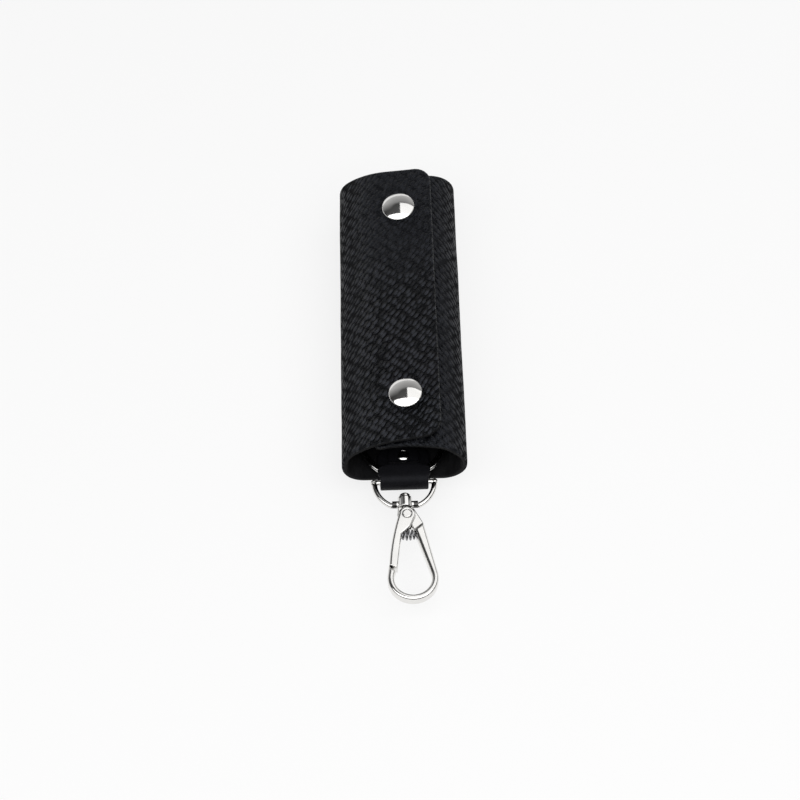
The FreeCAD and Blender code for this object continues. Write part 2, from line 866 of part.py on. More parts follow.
def stem_outline():
    radius = size("stem_radius")
    root = size("lug_thickness") / 2
    foot = lug_top - radius
    seat = hub_high + size("stem_clearance")
    top = seat + size("head_length")
    rim = seat + size("head_length") / 2
    head = size("head_radius")
    return [line((0, foot), (root, foot)),
            line((root, foot), (root, lug_top)),
            line((root, lug_top), (radius, lug_top)),
            line((radius, lug_top), (radius, seat)),
            line((radius, seat), (head, seat)),
            line((head, seat), (head, rim)),
            dome(head, rim, top),
            line((0, top), (0, foot))]


hook_body_blank = new_body("hook_blank", hook_place)
bar_sketch = new_sketch(hook_body_blank, "XY_Plane", "hook_bar_outline")
add_loop(bar_sketch, hook_bar_outline())
pad(hook_body_blank, "hook_bar", bar_sketch, "sizes.hook_thickness")


def on_hook_face(edge):
    """Whether an edge lies in the upper or the lower face of the hook or its gate."""
    spans = edge.BoundBox
    return spans.ZLength < NEAR and abs(abs(spans.Center.z) - size("hook_thickness") / 2) < NEAR


round_edges(hook_body_blank, "hook_bar_rounding", "sizes.hook_rounding", on_hook_face)
lug_sketch = new_sketch(hook_body_blank, "XY_Plane", "hook_lug_outline")
add_loop(lug_sketch, lug_outline())
pad(hook_body_blank, "hook_lug", lug_sketch, "sizes.lug_thickness")
stem_sketch = new_sketch(hook_body_blank, "XY_Plane", "hook_stem_outline")
add_loop(stem_sketch, stem_outline())
revolve(hook_body_blank, "hook_stem", stem_sketch)
pin_hole = new_sketch(hook_body_blank, "XY_Plane", "hook_pin_hole")
add_loop(pin_hole, [circle(pivot, size("pivot_radius"), "sizes.pivot_radius")])
pocket(hook_body_blank, "hook_pin_cut", pin_hole, "2 * sizes.hook_thickness")

# Gate: a forked lever on the pivot, shut against the nose

gate_place = Placement(near_point(pivot[0], pivot[1], bar_z), Rotation())


def gate_outline():
    """Outline about the pivot."""
    boss = size("boss_radius")
    nose_outer, nose_inner = [(point[0] - pivot[0], point[1] - pivot[1]) for point in nose_points()[1:]]
    run = math.hypot(nose_inner[0] - nose_outer[0], nose_inner[1] - nose_outer[1])
    along = ((nose_inner[0] - nose_outer[0]) / run, (nose_inner[1] - nose_outer[1]) / run)
    off = size("nose_clearance")
    end_outer = (nose_outer[0] - along[1] * off, nose_outer[1] + along[0] * off)
    end_drop = size("gate_end_width") * along[1] / along[0] / 2
    end_inner = (end_outer[0] + size("gate_end_width"), end_outer[1] + end_drop)
    bulge = (size("gate_bulge_x"), -size("gate_bulge_drop"))
    inner = (size("gate_inner_x"), -size("gate_inner_drop"))
    notch = (size("gate_notch_x"), -size("gate_notch_drop"))
    left = (-boss, 0)
    end = size("boss_end_angle")
    return [arc((0, 0), boss, end, 180, "sizes.boss_radius"),
            arc_through(left, bulge, end_outer),
            line(end_outer, end_inner),
            line(end_inner, inner),
            line(inner, notch),
            line(notch, on_circle((0, 0), boss, end))]


gate_blank = new_body("gate_blank", gate_place)
gate_sketch = new_sketch(gate_blank, "XY_Plane", "gate_outline")
add_loop(gate_sketch, gate_outline())
pad(gate_blank, "gate_pad", gate_sketch, "sizes.hook_thickness")


def clear_of_nose(edge):
    """Whether an edge lies in a face of the gate, away from the end that meets the nose."""
    return on_hook_face(edge) and edge.BoundBox.YMax > -2 * size("gate_bulge_drop")


round_edges(gate_blank, "gate_rounding", "sizes.gate_rounding", clear_of_nose)
fork_sketch = new_sketch(gate_blank, "XY_Plane", "gate_fork")
add_loop(fork_sketch, [circle((0, 0), size("fork_radius"), "sizes.fork_radius")])
pocket(gate_blank, "gate_fork_cut", fork_sketch, "sizes.lug_thickness + 2 * sizes.cheek_clearance")
gate_hole = new_sketch(gate_blank, "XY_Plane", "gate_pin_hole")
add_loop(gate_hole, [circle((0, 0), size("pivot_radius") + size("pivot_clearance"),
                            "sizes.pivot_radius + sizes.pivot_clearance")])
pocket(gate_blank, "gate_pin_cut", gate_hole, "2 * sizes.hook_thickness")

gate_pivot = doc.addObject("Part::Cylinder", "gate_pivot")
gate_pivot.Label = "gate_pivot"
bind(gate_pivot, {"Radius": "sizes.pivot_radius",
                  "Height": "sizes.hook_thickness + 2 * sizes.pivot_proud"})
pivot_low = bar_z - size("hook_thickness") / 2 - size("pivot_proud")
gate_pivot.Placement = Placement(near_point(pivot[0], pivot[1], pivot_low), Rotation())

# Gate spring: one wire of even turns between the gate and the hook, in blind seats

spring_start = near_point(pivot[0] + size("spring_left"), pivot[1] - size("spring_drop"), bar_z)


def spring_seat(name):
    """Room for the spring in both the gate and the hook."""
    base = spring_start - Vector(size("spring_clearance"), 0, 0)
    return cylinder(name, "sizes.spring_radius + sizes.spring_wire_radius + sizes.spring_clearance",
                    "sizes.spring_length + 2 * sizes.spring_clearance", base, Vector(1, 0, 0))


def spring_points():
    """Middle of the wire at even steps along its turns."""
    turns = size("spring_turn_count")
    wire = size("spring_wire_radius")
    run = size("spring_length") - 2 * wire
    steps = int(round(POINTS_PER_TURN * turns))
    points = []
    for step in range(steps + 1):
        turn = 2 * math.pi * step / POINTS_PER_TURN
        across = Vector(0, math.cos(turn), math.sin(turn)) * size("spring_radius")
        points.append(spring_start + Vector(wire + run * step / steps, 0, 0) + across)
    return points


def spring_shape(points):
    """Tube swept along arcs through three points each."""
    firsts = range(0, len(points) - 2, 2)
    edges = [Part.Arc(points[i], points[i + 1], points[i + 2]).toShape() for i in firsts]
    path = Part.Wire(edges)
    start = edges[0]
    tangent = start.tangentAt(start.FirstParameter)
    ring = Part.Wire([Part.Circle(points[0], tangent, size("spring_wire_radius")).toShape()])
    return path.makePipeShell([ring], True, False)


def least_gap(points):
    """Least distance between turns of the wire, less its thickness."""
    apart = 3 * POINTS_PER_TURN // 4
    pairs = []
    for i in range(len(points)):
        pairs += [points[i].distanceToPoint(other) for other in points[i + apart:]]
    return min(pairs) - 2 * size("spring_wire_radius")


gate_spring = doc.addObject("Part::Feature", "gate_spring")
gate_spring.Label = "gate_spring"
gate_spring.Shape = spring_shape(spring_points())
print("gate spring, least gap between turns:", round(least_gap(spring_points()), 3))

hook_body = cut("hook_body", hook_body_blank, spring_seat("hook_spring_seat"))
gate = cut("gate", gate_blank, spring_seat("gate_spring_seat"))

# Split ring: two flat turns and a crossover, in the fold of the strap beside the bar

ring_radius = half_width - size("ring_wall_gap")
ring_near = bar_y + size("loop_wire_radius") + size("moving_clearance")
ring_centre = near_point(0, ring_near + ring_radius, lower_top + size("moving_clearance"))


def ring_face(angle, level):
    """Cross-section of the wire at an angle round the ring, counted from the near point."""
    turn = math.radians(angle)
    outward = Vector(math.sin(turn), -math.cos(turn), 0)
    corners = []
    for radius, height in ((0, 0), (1, 0), (1, 1), (0, 1)):
        reach = ring_radius - size("ring_band") * (1 - radius)
        corners.append(ring_centre + outward * reach + Vector(0, 0, level + height * size("ring_wire")))
    return Part.makePolygon(corners + corners[:1])


def ring_turn(first, sweep, level):
    return Part.Face(ring_face(first, level)).revolve(ring_centre, Vector(0, 0, 1), sweep)


def ring_shape():
    """Lower turn, crossover on the far side, upper turn."""
    cross = size("ring_crossover_angle")
    start = 180 + cross / 2
    sweep = 360 - cross
    rise = size("ring_pitch")
    crossover = Part.makeLoft([ring_face(start - cross, 0), ring_face(start, rise)], True, True)
    return ring_turn(start, sweep, 0).fuse([crossover, ring_turn(start, sweep, rise)]).removeSplitter()


split_ring = doc.addObject("Part::Feature", "split_ring")
split_ring.Label = "split_ring"
split_ring.Shape = ring_shape()

# Key row: a plate with knuckles, a rod through them and the hooks that swing on it

rod_z = leather + size("moving_clearance") + size("knuckle_radius")
row_x = (FOLDS["lower_left"][0] + FOLDS["lower_right"][0]) / 2
row_width = FOLDS["lower_right"][0] - FOLDS["lower_left"][0] - 2 * size("key_row_margin")
row_left = row_x - row_width / 2
hook_pitch = (row_width - size("plate_knuckle")) / KEY_HOOKS
hook_width = hook_pitch - size("key_hook_gap")
hook_knuckle = hook_pitch - size("plate_knuckle") - 2 * size("knuckle_end_gap")
rod_y = half_length - size("rod_inset")

FLAT_WIDTH = "sizes.case_width - sizes.lower_left_radius - sizes.lower_right_radius"
ROW_WIDTH = f"({FLAT_WIDTH} - 2 * sizes.key_row_margin)"
HOOK_PITCH = f"({ROW_WIDTH} - sizes.plate_knuckle) / {KEY_HOOKS}"
HOOK_HALF = f"({HOOK_PITCH} - sizes.key_hook_gap) / 2"
HOOK_KNUCKLE = f"{HOOK_PITCH} - sizes.plate_knuckle - 2 * sizes.knuckle_end_gap"
SLOT_HALF = f"{HOOK_HALF} - sizes.key_slot_wall"

plate_y = rod_y + size("knuckle_radius") + size("moving_clearance")
plate_place = Placement(Vector(row_x, plate_y, leather), Rotation())
plate_body = new_body("key_plate_sheet", plate_place)
plate_sketch = new_sketch(plate_body, "XY_Plane", "key_plate_outline")
add_loop(plate_sketch, polygon([
    (-row_width / 2, 0),
    (row_width / 2, 0),
    (row_width / 2, size("plate_depth")),
    (-row_width / 2, size("plate_depth")),
]))
plate_pad = plate_body.newObject("PartDesign::Pad", "key_plate_pad")
plate_pad.Profile = plate_sketch
plate_pad.setExpression("Length", "sizes.plate_thickness")
doc.recompute()


def plate_far_corner(edge):
    spans = edge.BoundBox
    upright = spans.XLength + spans.YLength < NEAR
    return upright and abs(spans.Center.y - size("plate_depth")) < NEAR


round_edges(plate_body, "key_plate_corners", "sizes.plate_corner_radius", plate_far_corner)


def plate_knuckle(index):
    """Rolled knuckle and the tongue that joins it to the plate."""
    left = row_left + index * hook_pitch
    roll = cylinder(f"plate_roll_{index}", "sizes.knuckle_radius", "sizes.plate_knuckle",
                    Vector(left, rod_y, rod_z), Vector(1, 0, 0))
    tongue = doc.addObject("Part::Box", f"plate_tongue_{index}")
    bind(tongue, {"Length": "sizes.plate_knuckle", "Height": "sizes.plate_thickness",
                  "Width": "sizes.knuckle_radius + 2 * sizes.moving_clearance"})
    tongue.Placement = Placement(Vector(left, rod_y, leather), Rotation())
    return [roll, tongue]


knuckles = [item for index in range(KEY_HOOKS + 1) for item in plate_knuckle(index)]
plate_blank = fuse("key_plate_blank", [plate_body] + knuckles)
rod_start = Vector(row_left, rod_y, rod_z)
rod_hole = cylinder("rod_hole", "sizes.rod_radius", ROW_WIDTH, rod_start, Vector(1, 0, 0))
rivet_y = plate_y + size("plate_depth") / 2
rivet_xs = [row_x + side * (row_width / 2 - size("key_rivet_inset")) for side in (-1, 1)]
rivet_low = leather - size("plate_thickness")
rivet_holes = [cylinder(f"plate_rivet_hole_{i}", "sizes.key_rivet_radius + sizes.hole_clearance",
                        "4 * sizes.plate_thickness", Vector(x, rivet_y, rivet_low), Vector(0, 0, 1))
               for i, x in enumerate(rivet_xs)]
key_plate = cut("key_plate", plate_blank, fuse("key_plate_holes", [rod_hole] + rivet_holes))

key_rod = cylinder("key_rod", "sizes.rod_radius", ROW_WIDTH, rod_start, Vector(1, 0, 0))
key_rod.Label = "key_rod"


def key_rivet_outline():
    """Sunk head at the back, shank, and a domed head on the plate."""
    low = size("back_head_inset")
    sunk = low + size("back_head_thickness")
    shank = size("key_rivet_radius")
    seat = leather + size("plate_thickness")
    rim = seat + size("cap_rim") / 2
    top = seat + size("key_rivet_head_height")
    head = size("key_rivet_head_radius")
    back = size("back_head_radius")
    return [line((0, low), (back, low)),
            line((back, low), (back, sunk)),
            line((back, sunk), (shank, sunk)),
            line((shank, sunk), (shank, seat)),
            line((shank, seat), (head, seat)),
            line((head, seat), (head, rim)),
            dome(head, rim, top),
            line((0, top), (0, low))]


key_rivets = group("key_rivets", [
    turned(f"key_rivet_{i}", key_rivet_outline(), Placement(Vector(x, rivet_y, 0), Rotation()))
    for i, x in enumerate(rivet_xs)])


def key_hook(index):
    """Flat hook with a slot for the key, an entry at its side and a knuckle on the rod."""
    x = row_left + size("plate_knuckle") / 2 + (index + 0.5) * hook_pitch
    body = new_body(f"key_hook_{index + 1}", Placement(Vector(x, rod_y, rod_z), Rotation()))
    half = hook_width / 2
    low = -size("key_hook_length") + half
    neck = -size("knuckle_radius") - size("moving_clearance")
    knuckle_half = hook_knuckle / 2
    shoulder = neck - half
    outline = new_sketch(body, "XY_Plane", f"key_hook_outline_{index}")
    add_loop(outline, [
        arc((0, low), half, 180, 360, HOOK_HALF),
        line((half, low), (half, shoulder)),
        line((half, shoulder), (knuckle_half, neck)),
        line((knuckle_half, neck), (knuckle_half, 0)),
        line((knuckle_half, 0), (-knuckle_half, 0)),
        line((-knuckle_half, 0), (-knuckle_half, neck)),
        line((-knuckle_half, neck), (-half, shoulder)),
        line((-half, shoulder), (-half, low)),
    ])
    pad(body, f"key_hook_blade_{index}", outline, "sizes.key_hook_thickness")
    slot_half = half - size("key_slot_wall")
    high = low + size("key_slot_length")
    slot = new_sketch(body, "XY_Plane", f"key_hook_slot_{index}")
    entry = high - size("key_entry")
    beyond = 2 * half
    add_loop(slot, [
        arc((0, low), slot_half, 180, 360, SLOT_HALF),
        line((slot_half, low), (slot_half, entry)),
        line((slot_half, entry), (beyond, entry)),
        line((beyond, entry), (beyond, high)),
        line((beyond, high), (slot_half, high)),
        arc((0, high), slot_half, 0, 180, SLOT_HALF),
        line((-slot_half, high), (-slot_half, low)),
    ])
    pocket(body, f"key_hook_slot_cut_{index}", slot, "2 * sizes.key_hook_thickness")
    roll = new_sketch(body, "YZ_Plane", f"key_hook_roll_{index}")
    add_loop(roll, [circle((0, 0), size("knuckle_radius"), "sizes.knuckle_radius")])
    pad(body, f"key_hook_knuckle_{index}", roll, HOOK_KNUCKLE)
    bore = new_sketch(body, "YZ_Plane", f"key_hook_bore_{index}")
    add_loop(bore, [circle((0, 0), size("rod_radius") + size("knuckle_clearance"),
                           "sizes.rod_radius + sizes.knuckle_clearance")])
    pocket(body, f"key_hook_bore_cut_{index}", bore, f"2 * ({HOOK_KNUCKLE})")
    return body


key_hooks = [key_hook(index) for index in range(KEY_HOOKS)]

# Back panel: holes and sunk seats for the strap rivet and the key row's rivets

back_rivets = [("strap", rivet_place.Base.x, rivet_place.Base.y, "sizes.strap_rivet_radius")]
back_rivets += [(f"key_{i}", x, rivet_y, "sizes.key_rivet_radius") for i, x in enumerate(rivet_xs)]
back_cuts = []
for name, x, y, radius in back_rivets:
    below = Vector(x, y, -leather)
    back_cuts.append(cylinder(f"back_hole_{name}", f"{radius} + sizes.hole_clearance",
                              "3 * sizes.leather_thickness", below, Vector(0, 0, 1)))
    back_cuts.append(cylinder(f"back_seat_{name}", "sizes.back_head_radius + sizes.hole_clearance",
                              "sizes.leather_thickness + sizes.back_head_inset + sizes.back_head_thickness",
                              below, Vector(0, 0, 1)))
back_panel = cut("back_panel", back_blank, fuse("back_panel_cuts", back_cuts))

doc.recompute()

# Check and write every sub-part

NODES = [
    back_panel, outer_wall, outer_flap, inner_wall, inner_flap,
    *snap_groups,
    hang_strap, strap_rivet_post, strap_rivet_cap, split_ring,
    swivel_loop, hook_body, gate, gate_pivot, gate_spring,
    key_plate, key_rod, key_rivets, *key_hooks,
]

for item in doc.Objects:
    if "Invalid" in item.State or "Error" in item.State:
        raise RuntimeError(f"{item.Label} failed: {item.State}")
    if item.TypeId == "Part::MultiFuse":
        whole = item.Shape.optimalBoundingBox(False, False)
        whole.enlarge(NEAR)
        for piece in item.Shapes:
            if not whole.isInside(piece.Shape.optimalBoundingBox(False, False)):
                raise RuntimeError(f"{item.Label} lost {piece.Label}")
for node in NODES:
    if node.Shape.isNull() or not node.Shape.isValid() or not node.Shape.Solids:
        raise RuntimeError(f"{node.Label} has no valid solid")

os.makedirs("parts", exist_ok=True)
for node in NODES:
    node.Shape.exportStep(os.path.join("parts", node.Label + ".step"))
    spans = node.Shape.BoundBox
    print(f"{node.Label}: {len(node.Shape.Solids)} solid(s), {node.Shape.Volume:.1f} mm3, "
          f"x {spans.XMin:.1f}..{spans.XMax:.1f} y {spans.YMin:.1f}..{spans.YMax:.1f} "
          f"z {spans.ZMin:.1f}..{spans.ZMax:.1f}")
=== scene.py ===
import math

import bmesh
import bpy
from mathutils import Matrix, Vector, noise


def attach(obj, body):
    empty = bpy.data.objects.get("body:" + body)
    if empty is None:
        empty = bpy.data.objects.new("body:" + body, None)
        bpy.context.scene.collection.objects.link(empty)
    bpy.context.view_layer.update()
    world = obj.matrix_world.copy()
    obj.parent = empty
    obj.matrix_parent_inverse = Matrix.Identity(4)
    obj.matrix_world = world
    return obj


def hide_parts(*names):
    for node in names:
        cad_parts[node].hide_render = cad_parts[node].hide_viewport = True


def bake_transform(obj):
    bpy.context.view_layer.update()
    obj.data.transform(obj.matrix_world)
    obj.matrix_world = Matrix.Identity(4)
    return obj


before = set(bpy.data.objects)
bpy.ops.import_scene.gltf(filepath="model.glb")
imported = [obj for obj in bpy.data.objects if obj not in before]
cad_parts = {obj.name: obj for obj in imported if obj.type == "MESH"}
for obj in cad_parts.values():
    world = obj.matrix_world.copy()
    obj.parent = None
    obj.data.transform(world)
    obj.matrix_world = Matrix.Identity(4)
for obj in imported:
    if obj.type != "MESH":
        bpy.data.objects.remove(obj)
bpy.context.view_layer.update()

# A millimetre in metres, and in units of the hide's texture

MM = 0.001
HIDE_UNIT = 10 * MM

# Sizes of the leather, in millimetres, as the frame has them

HALF_WIDTH = 22.25
HALF_LENGTH = 60.0
LEATHER = 2.0
LOWER_LEFT = 8.0
LOWER_RIGHT = 9.0
FLAP_SLOPE = math.radians(6.5)
FLAP_EDGE = (13.0, 25.4)
FLAP_CORNER = 6.0
FLAP_SETBACK = 4.6
CROWN_RADIUS = 28.5
CROWN_SWEEP = 31.5
UPPER_LEFT = 10.0
UPPER_RIGHT = 10.0
INNER_EDGE_X = -11.5
INNER_CORNER = 3.0
INNER_SETBACK = 3.2
LAYER_STEP = 4.4
SNAPS = ((0.8, -38.1), (0.8, 43.3))
CAP_RADIUS = 6.0
STRAP_X = -0.4
TOP_ANGLE = 90 + math.degrees(FLAP_SLOPE)
SHOULDER_ANGLE = TOP_ANGLE + CROWN_SWEEP


def outer_top(x):
    """Height of the flat part of the outer flap's upper face."""
    return FLAP_EDGE[1] - (FLAP_EDGE[0] - x) * math.tan(FLAP_SLOPE)


def inner_top(x):
    """Height of the flat part of the inner flap's upper face."""
    return outer_top(x) - LAYER_STEP / math.cos(FLAP_SLOPE)


def on_circle(centre, radius, angle):
    turn = math.radians(angle)
    return centre[0] + radius * math.cos(turn), centre[1] + radius * math.sin(turn)


def crown_centre():
    """Centre of the outer flap's crown, between its flat part and the upper left fold."""
    reach = CROWN_RADIUS - UPPER_LEFT
    x = -HALF_WIDTH + UPPER_LEFT - reach * math.cos(math.radians(SHOULDER_ANGLE))
    top = outer_top(x - CROWN_RADIUS * math.sin(FLAP_SLOPE))
    return x, top - CROWN_RADIUS * math.cos(FLAP_SLOPE)


def upper_right_centre():
    x = HALF_WIDTH - UPPER_RIGHT
    top = inner_top(x - UPPER_RIGHT * math.sin(FLAP_SLOPE))
    return x, top - UPPER_RIGHT * math.cos(FLAP_SLOPE)


CROWN = crown_centre()
INNER_CROWN = CROWN_RADIUS - LAYER_STEP
INNER_END_ANGLE = math.degrees(math.acos((INNER_EDGE_X - CROWN[0]) / INNER_CROWN))
FOLDS = {
    "lower_left": ((-HALF_WIDTH + LOWER_LEFT, LOWER_LEFT), LOWER_LEFT),
    "lower_right": ((HALF_WIDTH - LOWER_RIGHT, LOWER_RIGHT), LOWER_RIGHT),
    "upper_left": (on_circle(CROWN, CROWN_RADIUS - UPPER_LEFT, SHOULDER_ANGLE), UPPER_LEFT),
    "upper_right": (upper_right_centre(), UPPER_RIGHT),
}


def fold_point(fold, angle):
    centre, radius = FOLDS[fold]
    return on_circle(centre, radius, angle)


WALL_FOOT = fold_point("lower_left", 225)
WALL_HEAD = fold_point("upper_left", (180 + SHOULDER_ANGLE) / 2)
INNER_HEAD = fold_point("upper_right", TOP_ANGLE / 2)


# Materials: the grain's cell is in millimetres, the other lengths are in metres

GRAIN_LEAN = math.radians(40)
GRAIN_CELL = 1.55
GRAIN_STRETCH = 2.1
GRAIN_DEPTH = 0.0013
METAL_EDGE = 0.0006
PAINTED_SHADE_REACH = 0.0011
BAND_FADE = 0.0002


def new_material(name):
    material = bpy.data.materials.new(name)
    material.use_nodes = True
    tree = material.node_tree
    tree.nodes.clear()
    output = tree.nodes.new("ShaderNodeOutputMaterial")
    surface = tree.nodes.new("ShaderNodeBsdfPrincipled")
    tree.links.new(surface.outputs["BSDF"], output.inputs["Surface"])
    return material, tree, surface


def add(tree, kind, values=None, **settings):
    """Add a node, set its options, and set or link its inputs."""
    node = tree.nodes.new(kind)
    for key, value in settings.items():
        setattr(node, key, value)
    for key, value in (values or {}).items():
        if isinstance(value, bpy.types.NodeSocket):
            tree.links.new(value, node.inputs[key])
        else:
            node.inputs[key].default_value = value
    return node


def ramp(tree, factor, stops):
    """Colour ramp between grey or colour stops."""
    node = add(tree, "ShaderNodeValToRGB", {"Fac": factor})
    elements = node.color_ramp.elements
    while len(elements) < len(stops):
        elements.new(0.5)
    for element, (position, colour) in zip(elements, stops):
        shade = colour if isinstance(colour, tuple) else (colour, colour, colour)
        element.position = position
        element.color = (*shade, 1.0)
    return node.outputs["Color"]


def maths(tree, operation, first, second=0.0):
    return add(tree, "ShaderNodeMath", {0: first, 1: second}, operation=operation).outputs[0]


def vectors(tree, operation, values):
    return add(tree, "ShaderNodeVectorMath", values, operation=operation).outputs[0]


def mixed_colour(tree, factor, first, second, blend="MIX"):
    return add(tree, "ShaderNodeMix", {"Factor": factor, "A": first, "B": second}, data_type="RGBA",
               blend_type=blend).outputs["Result"]


def clouds(tree, coords, scale, detail, **values):
    """Grey value of a noise texture."""
    values.update({"Vector": coords, "Scale": scale, "Detail": detail})
    return add(tree, "ShaderNodeTexNoise", values).outputs["Fac"]


def ranged(tree, value, low, high, start, end):
    """Straight change from start to end while a value goes from low to high."""
    values = {"Value": value, "From Min": low, "From Max": high, "To Min": start, "To Max": end}
    return add(tree, "ShaderNodeMapRange", values).outputs["Result"]


def finish_surface(tree, surface, colour, bump, values):
    """Link the colour and the normal of a surface, and set or link its other inputs."""
    tree.links.new(colour, surface.inputs["Base Color"])
    tree.links.new(bump.outputs["Normal"], surface.inputs["Normal"])
    for name, value in values.items():
        if isinstance(value, bpy.types.NodeSocket):
            tree.links.new(value, surface.inputs[name])
        else:
            surface.inputs[name].default_value = value


def grain_height(tree, coords, lean, cell, stretch):
    """Rounded, elongated pebbles, leaning across the hide, with creases between them. The cell is in
    millimetres."""
    warp = add(tree, "ShaderNodeTexNoise", {"Vector": coords, "Scale": 30.0 / cell, "Detail": 2.0})
    shift = vectors(tree, "SUBTRACT", {0: warp.outputs["Color"], 1: (0.5, 0.5, 0.5)})
    shift = vectors(tree, "SCALE", {0: shift, "Scale": 0.005 * cell})
    bent = vectors(tree, "ADD", {0: coords, 1: shift})
    turned = add(tree, "ShaderNodeMapping", {"Vector": bent, "Rotation": (0, 0, lean)}).outputs[0]
    scaled = add(tree, "ShaderNodeMapping", {"Vector": turned, "Scale": (1.0, 1.0 / stretch, 1.0)}).outputs[0]
    cells = add(tree, "ShaderNodeTexVoronoi", {"Vector": scaled, "Scale": 100.0 / cell, "Randomness": 0.42})
    profile = ((0.0, 1.0), (0.22, 0.9), (0.42, 0.64), (0.54, 0.2), (0.64, 0.0))
    return ramp(tree, cells.outputs["Distance"], profile)


def pebbled_grain(tree, coords, place, back):
    """Pebbles that lean one way up to the middle of the back and the other way from there on."""
    turn = ranged(tree, place["X"], back - 0.05, back + 0.05, 0.0, 1.0)
    first = grain_height(tree, coords, -GRAIN_LEAN, GRAIN_CELL, GRAIN_STRETCH)
    second = grain_height(tree, coords, GRAIN_LEAN, GRAIN_CELL, GRAIN_STRETCH)
    return maths(tree, "ADD", maths(tree, "MULTIPLY", first, maths(tree, "SUBTRACT", 1.0, turn)),
                 maths(tree, "MULTIPLY", second, turn))


def grain_share_with_painted_shade(tree, place, end):
    """Share of the grain that is left: less at the far end of the outer flap and on the inner flap. The
    colour follows it as painted shade there, going from the bright crest tone to a calm tone.
    """
    far = ranged(tree, place["Y"], 0.03, 0.29, 0.0, 0.6)
    on_flap = maths(tree, "MULTIPLY", ranged(tree, place["X"], 0.25, 0.31, 1.0, 0.0), far)
    on_inner = ranged(tree, place["X"], end - 0.33, end - 0.29, 0.0, 0.58)
    return maths(tree, "SUBTRACT", 1.0, maths(tree, "MAXIMUM", on_flap, on_inner))


def leather_material(name, back, end):
    """Black pebbled hide with gloss on each crest of the flaps; the walls are duller. Its colour holds
    painted light: a painted highlight on each crest, painted shade in the creases, weaker on the walls, and
    painted shade on the outer flap's far end and on the inner flap. The middle of the back and the inner
    flap's end are places along the hide."""
    material, tree, surface = new_material(name)
    coords = add(tree, "ShaderNodeUVMap", uv_map="hide").outputs["UV"]
    place = add(tree, "ShaderNodeSeparateXYZ", {"Vector": coords}).outputs
    pebbles = pebbled_grain(tree, coords, place, back)
    grain_and_painted_light_share = grain_share_with_painted_shade(tree, place, end)
    depth = ramp(tree, clouds(tree, coords, 9.0, 3.0), ((0.35, 0.75), (0.65, 1.0)))
    grain = maths(tree, "MULTIPLY", pebbles, maths(tree, "MULTIPLY", depth, grain_and_painted_light_share))
    creases = maths(tree, "MULTIPLY", grain_height(tree, coords, 0.1, 0.6, 1.5), 0.08)
    height = maths(tree, "ADD", grain, creases)
    bump = add(tree, "ShaderNodeBump", {"Height": height, "Strength": 1.0, "Distance": GRAIN_DEPTH})
    on_wall = maths(tree, "MULTIPLY", ranged(tree, place["X"], 0.27, 0.36, 0.0, 1.0),
                    ranged(tree, place["X"], end - 0.34, end - 0.26, 1.0, 0.0))
    # Painted light: a painted highlight on each crest of the grain and painted shade in the creases; on the
    # walls both are weaker.
    crest_highlights_and_crease_shade = ramp(tree, pebbles, ((0.0, (0.0001, 0.0001, 0.0002)), (0.3, (0.0006, 0.0006, 0.0009)),
                                  (0.64, (0.0072, 0.0077, 0.0097)), (0.96, (0.03, 0.0318, 0.0384))))
    wall_crest_highlights_and_crease_shade = ramp(tree, pebbles, ((0.0, (0.0005, 0.0005, 0.0007)), (0.15, (0.0022, 0.0023, 0.0029)),
                                        (0.45, (0.0052, 0.0055, 0.0069)), (1.0, (0.0105, 0.0111, 0.0135))))
    # Painted shade: where less grain is left, at the outer flap's far end and on the inner flap, the tone
    # goes to the calm colour.
    tone = mixed_colour(tree, grain_and_painted_light_share, (0.0058, 0.0063, 0.0082, 1.0), crest_highlights_and_crease_shade)
    tone = mixed_colour(tree, on_wall, tone, wall_crest_highlights_and_crease_shade)
    gloss = ramp(tree, pebbles, ((0.0, 0.3), (0.5, 0.2), (1.0, 0.15)))
    matt = ramp(tree, pebbles, ((0.0, 0.98), (0.3, 0.75), (1.0, 0.34)))
    finish_surface(tree, surface, tone, bump, {"Roughness": mixed_colour(tree, on_wall, gloss, matt),
                                               "Specular IOR Level": 0.14,
                                               "Specular Tint": (0.86, 0.91, 1.0, 1.0)})
    return material


def suede_material():
    """Dark napped flesh side."""
    material, tree, surface = new_material("suede_inside")
    coords = add(tree, "ShaderNodeUVMap", uv_map="hide").outputs["UV"]
    nap = clouds(tree, coords, 260.0, 6.0, Roughness=0.7)
    mixed = maths(tree, "MULTIPLY", nap, clouds(tree, coords, 16.0, 3.0))
    colour = ramp(tree, mixed, ((0.12, (0.003, 0.003, 0.0034)), (0.42, (0.0135, 0.0136, 0.0148))))
    bump = add(tree, "ShaderNodeBump", {"Height": nap, "Strength": 0.7, "Distance": 0.0002})
    finish_surface(tree, surface, colour, bump, {"Roughness": 0.95, "Specular IOR Level": 0.06,
                                                 "Sheen Weight": 0.02, "Sheen Roughness": 0.6})
    return material


def edge_material():
    """Cut and burnished edge of the hide, with faint layers along it."""
    material, tree, surface = new_material("burnished_edge")
    coords = add(tree, "ShaderNodeTexCoord").outputs["Object"]
    layers = clouds(tree, coords, 900.0, 3.0)
    colour = ramp(tree, layers, ((0.3, (0.0022, 0.0022, 0.0026)), (0.7, (0.006, 0.0061, 0.0068))))
    rough = ramp(tree, layers, ((0.3, 0.56), (0.7, 0.72)))
    bump = add(tree, "ShaderNodeBump", {"Height": layers, "Strength": 0.4, "Distance": 0.0001})
    finish_surface(tree, surface, colour, bump, {"Roughness": rough, "Specular IOR Level": 0.1})
    return material


